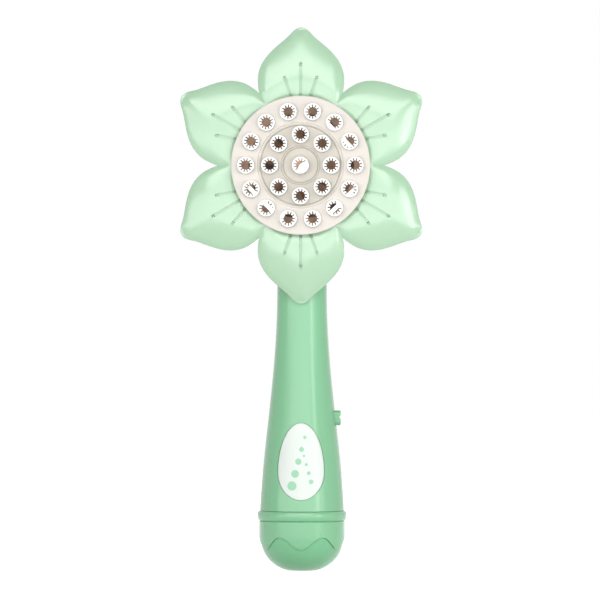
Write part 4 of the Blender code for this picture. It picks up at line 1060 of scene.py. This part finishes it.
@dataclass
class Disc:
    """Beige face plate and the white plate of toothed nozzles."""

    radius: float = 43.5
    rear: float = 26.7
    back: float = 28.5
    faces: Triple = (31.4, 30.6, 29.8)
    outer_step: Point = (24.9, 26.7)
    inner_step: Point = (10.8, 12.2)
    nozzle: float = 5.35
    bore: float = 2.85
    front: float = 35.6
    rings: tuple[tuple[float, int], ...] = ((0.0, 1), (19.2, 8), (34.2, 14))
    slots: int = 12
    slot_width: float = 0.74
    slot_end: float = 4.5
    carrier: float = 40.6
    carrier_back: float = 26.2
    carrier_front: float = 28.2
    rim: float = 1.7
    lip: float = 0.3
    fit: float = 0.12

    def places(self) -> list[Matrix]:
        """Placement of every nozzle in the head's plane."""
        turns = [(radius, TURN * number / count) for radius, count in self.rings
                 for number in range(count)]
        return [Matrix.Translation((*polar(radius, angle), 0)) @ Matrix.Rotation(angle, 4, "Z")
                for radius, angle in turns]

    def build_plate(self) -> None:
        """Face plate: a rolled rim and two grooved steps down to the centre; the middle step and
        the centre are darkened with painted shade.
        """
        outer, middle, inner = self.faces
        side, lip = self.radius - self.rim, self.lip
        face = [(side, self.rear), (self.radius, self.rear), (self.radius, outer)]
        for (near, far), upper, lower in ((self.outer_step, outer, middle),
                                          (self.inner_step, middle, inner)):
            face += [(far + lip, upper), (far, upper - 0.6), (far - lip, upper - 0.1),
                     (near + lip, lower + lip), (near, lower - 0.5), (near - lip, lower)]
        profile = [(0, self.back), (side, self.back), *softened(face + [(0, inner)], 0.7, 5)]
        plate = turned("disc_plate", profile, 192)
        carved(plate, prisms("holes", circle(self.nozzle + self.fit, 64), self.back - 1, outer + 1,
                             self.places()))
        centres = [turn.translation for turn in self.places()]
        limit = self.nozzle + 0.5

        def at_hole(edge: bmesh.types.BMEdge) -> bool:
            """Whether an edge runs round a hole in the front."""
            spot = (edge.verts[0].co + edge.verts[1].co) / 2
            if spot.z < self.back + 0.3:
                return False
            return any(math.hypot(spot.x - c.x, spot.y - c.y) < limit for c in centres)

        eased(plate, 0.28, at_hole)
        # The second tone over the middle step and the centre is painted shade of the recessed
        # steps, not a different plastic.
        beige = DottedFinish("disc_beige_painted_shade", (0.63, 0.59, 0.54), 0.32, 0.01, 0.03, 0.0,
                             print_and_shade=(0.52, 0.485, 0.425),
                             dots=((0.0, HEAD_HEIGHT, self.outer_step[0] + 0.9),))
        published(plate, beige, ["face_plate"], HEAD)

    def toothed(self) -> list[Point]:
        """(angle, radius) round a bore, with round-ended slots between its teeth."""
        half = self.slot_width / 2
        mouth = math.sqrt(self.bore ** 2 - half ** 2)
        end = self.slot_end - half
        tip = arc(half, -TURN / 8, TURN / 8, 2, (end, 0.0))
        slot = [(mouth, -half), (end, -half), *tip, (end, half), (mouth, half)]
        pitch = TURN / self.slots
        spread = pitch / 2 - half / self.bore
        points = []
        for number in range(self.slots):
            centre = pitch * (number + 0.5)
            points += [(centre + math.atan2(y, x), math.hypot(x, y)) for x, y in slot]
            points += [(centre + pitch / 2 + spread * side, self.bore) for side in (-0.5, 0, 0.5)]
        return points

    def build_nozzles(self) -> None:
        """Carrier disc with a toothed tube at every place."""
        edge, tip, back = self.nozzle, self.front, self.carrier_back
        outer = [(edge - 0.35, tip), (edge - 0.1, tip - 0.1), (edge, tip - 0.35), (edge, back)]
        tube = wrapped("tube", [
            upright([(reach, back), (reach, tip - 0.14), (reach + 0.1, tip), *outer], angle)
            for angle, reach in self.toothed()])
        profile = [(0.0, back), (self.carrier, back), (self.carrier, self.carrier_front),
                   (0.0, self.carrier_front)]
        disc = turned("nozzle_crown", softened(profile, 0.3), 96)
        carved(disc, prisms("holes", circle(edge - 0.03, 48), back - 1, self.carrier_front + 1,
                            self.places()))
        with reworked(disc) as bm:
            for turn in self.places():
                before = len(bm.verts)
                bm.from_mesh(tube.data)
                bm.verts.ensure_lookup_table()
                bmesh.ops.transform(bm, matrix=turn, verts=bm.verts[before:])
        bpy.data.objects.remove(tube, do_unlink=True)
        published(disc, WHITE, ["nozzle_plate"], HEAD)


@dataclass
class IntakeFilter:
    """Brown foam pad behind the intake slots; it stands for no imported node."""

    radius: float = 27.0
    low: float = -19.3
    high: float = -18.1

    def build(self) -> None:
        """Turn the pad with softened edges."""
        profile = softened([(0, self.low), (self.radius, self.low), (self.radius, self.high),
                            (0, self.high)], 0.3)
        published(turned("intake_filter", profile, 64), BROWN, [], HEAD)


@dataclass
class BatteryPack:
    """Three wrapped cells in the handle."""

    radius: float = 7.25
    length: float = 50.5
    nub: float = 1.2
    circle: float = 8.7
    low: float = 37.0
    spring_space: float = 2.3
    angles: tuple[int, ...] = (270, 30, 150)

    def build(self) -> None:
        """Turn each cell in its place; the second stands upside down."""
        top = self.length - self.nub
        profile = [(0, 0), (self.radius, 0), (self.radius, top), (2.6, top), (2.5, self.length),
                   (0, self.length)]
        for number, angle in enumerate(self.angles, 1):
            over = number == 2
            low = self.low + self.length if over else self.low + self.spring_space
            place = polar(self.circle, math.radians(angle))
            space = Matrix.Translation((*place, low))
            if over:
                space = space @ Matrix.Rotation(math.pi, 4, "X")
            cell = turned(f"cell_{number}", softened(profile, 0.6, 4), 64)
            published(cell, CELL_WRAP, [f"battery_{number}"], space)


def dress_inside() -> None:
    """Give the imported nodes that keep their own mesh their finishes."""
    finishes = {
        BROWN: ("air_chamber", "impeller", "motor_end_cap"),
        WHITE: ("motor_spider", "switch_plunger"), STEEL: ("motor_can", "motor_shaft"),
        RUBBER: ("face_seal",), BLACK: ("battery_bay", "switch_body"), BOARD: ("switch_board",),
        NICKEL: ("contact_plate_top", "contact_plate_bottom", "contact_spring_1",
                 "contact_spring_2", "contact_spring_3"),
        RED_LEAD: ("motor_lead_red", "battery_lead"), BLACK_LEAD: ("motor_lead_black",)}
    for finish, names in finishes.items():
        for name in names:
            node = frame["nodes"][name]
            node.data.materials.clear()
            node.data.materials.append(finish.material())
            log.info("%s: %s", name, finish.name)


@dataclass
class Studio:
    """Camera, lamps, pale floor and white surroundings."""

    azimuth: float = 1.7
    distance: float = 3.8
    frame_size: float = 0.37793
    centre: Triple = (-0.00126, 0.0, 0.1702)
    disc_back: float = -0.02605
    dim: float = 0.2
    floor_glow: float = 0.86

    def build_camera(self) -> None:
        """Long lens, level with the middle of the object."""
        camera = bpy.data.cameras.new("camera")
        camera.lens = camera.sensor_width * self.distance / self.frame_size
        camera.clip_end = 50.0
        item = placed("camera", camera)
        angle = math.radians(self.azimuth)
        away = Vector((math.sin(angle), -math.cos(angle), 0.0))
        item.location = Vector(self.centre) + away * self.distance
        item.rotation_euler = (math.pi / 2, 0, angle)
        bpy.context.scene.camera = item

    @staticmethod
    def lamp(name: str, place: Triple, aim: Triple, size: Point, power: float,
             mirrored: bool = True) -> None:
        """A softbox that faces a point.

        Args:
            name: Name of the lamp.
            place: Where it stands, in metres.
            aim: Point that it faces.
            size: Width and height.
            power: Watts.
            mirrored: Whether glossy surfaces show it.
        """
        light = bpy.data.lights.new(name, "AREA")
        light.shape = "RECTANGLE"
        light.size, light.size_y = size
        light.energy = power
        item = placed(name, light)
        item.location = place
        item.visible_glossy = mirrored
        toward = Vector(aim) - Vector(place)
        item.rotation_euler = toward.to_track_quat("-Z", "Y").to_euler()

    def build_lamps(self) -> None:
        """Softboxes all round, and the light that the thin disc lets through."""
        self.lamp("key", (-0.1, -1.3, 0.84), (0, 0, 0.25), (2.0, 0.76), 13.0)
        self.lamp("band", (0.0, -1.0, 0.187), (0.0, 0, 0.187), (4.8, 0.37), 12.0)
        self.lamp("streak", (1.0, -0.98, 0.25), (0, 0, 0.15), (0.24, 0.6), 1.3)
        self.lamp("right", (1.6, -0.3, 0.1), (0, 0, 0.12), (0.8, 0.9), 11.0, mirrored=False)
        self.lamp("left", (-1.6, -0.3, 0.1), (0, 0, 0.12), (0.8, 0.9), 2.0, mirrored=False)
        self.lamp("back", (0.3, 1.8, 0.9), (0, 0, 0.17), (2.0, 1.2), 18.0, mirrored=False)
        level = HEAD_HEIGHT * MM
        self.lamp("inside", (0, self.disc_back, level), (0, 0, level), (0.066, 0.066), 0.018)

    @staticmethod
    def shown(tree: Tree) -> Socket:
        """Socket that is 1 for the camera, for reflections and through clear parts."""
        path = tree.nodes.new("ShaderNodeLightPath").outputs
        seen = combined(tree, "MAXIMUM", path["Is Camera Ray"], path["Is Glossy Ray"])
        return combined(tree, "MAXIMUM", seen, path["Is Transmission Ray"])

    def build_world(self) -> None:
        """White to the camera and in reflections, softer as light."""
        world = bpy.data.worlds.new("studio")
        bpy.context.scene.world = world
        world.use_nodes = True
        tree = world.node_tree
        strength = wired(tree, "MapRange", "Result", {"Value": self.shown(tree),
                                                      "To Min": self.dim, "To Max": 1.0})
        feed(tree, tree.nodes["Background"], {"Color": (1, 1, 1, 1), "Strength": strength})

    def build_floor(self) -> None:
        """Pale floor that reads white to the camera but keeps a shadow."""
        bm = bmesh.new()
        bmesh.ops.create_grid(bm, x_segments=1, y_segments=1, size=6.0)
        bmesh.ops.translate(bm, verts=bm.verts[:], vec=(0, 0, -0.0005))
        floor = linked("floor", bm)
        material = bpy.data.materials.new("floor_white")
        material.use_nodes = True
        tree = material.node_tree
        feed(tree, tree.nodes["Principled BSDF"], {
            "Base Color": (0.8, 0.8, 0.8, 1), "Roughness": 0.9, "Specular IOR Level": 0.0,
            "Emission Color": (1, 1, 1, 1),
            "Emission Strength": combined(tree, "MULTIPLY", self.shown(tree), self.floor_glow)})
        floor.data.materials.append(material)

    def build(self) -> None:
        """Set up everything round the object."""
        bpy.context.scene.view_settings.view_transform = "Standard"
        self.build_camera()
        self.build_lamps()
        self.build_world()
        self.build_floor()


def main() -> None:
    """Build every sub-assembly and the studio round them."""
    Studio().build()
    handle = Handle()
    label = Label(handle)
    button = PowerButton()
    housing = Housing(handle, label, button)
    housing.build_shells()
    housing.build_door()
    housing.build_screws()
    label.build()
    foot = Foot()
    foot.build_cap()
    foot.build_collar()
    Flower().build()
    disc = Disc()
    disc.build_plate()
    disc.build_nozzles()
    IntakeFilter().build()
    button.build()
    BatteryPack().build()
    dress_inside()


if __name__ == "__main__":
    main()
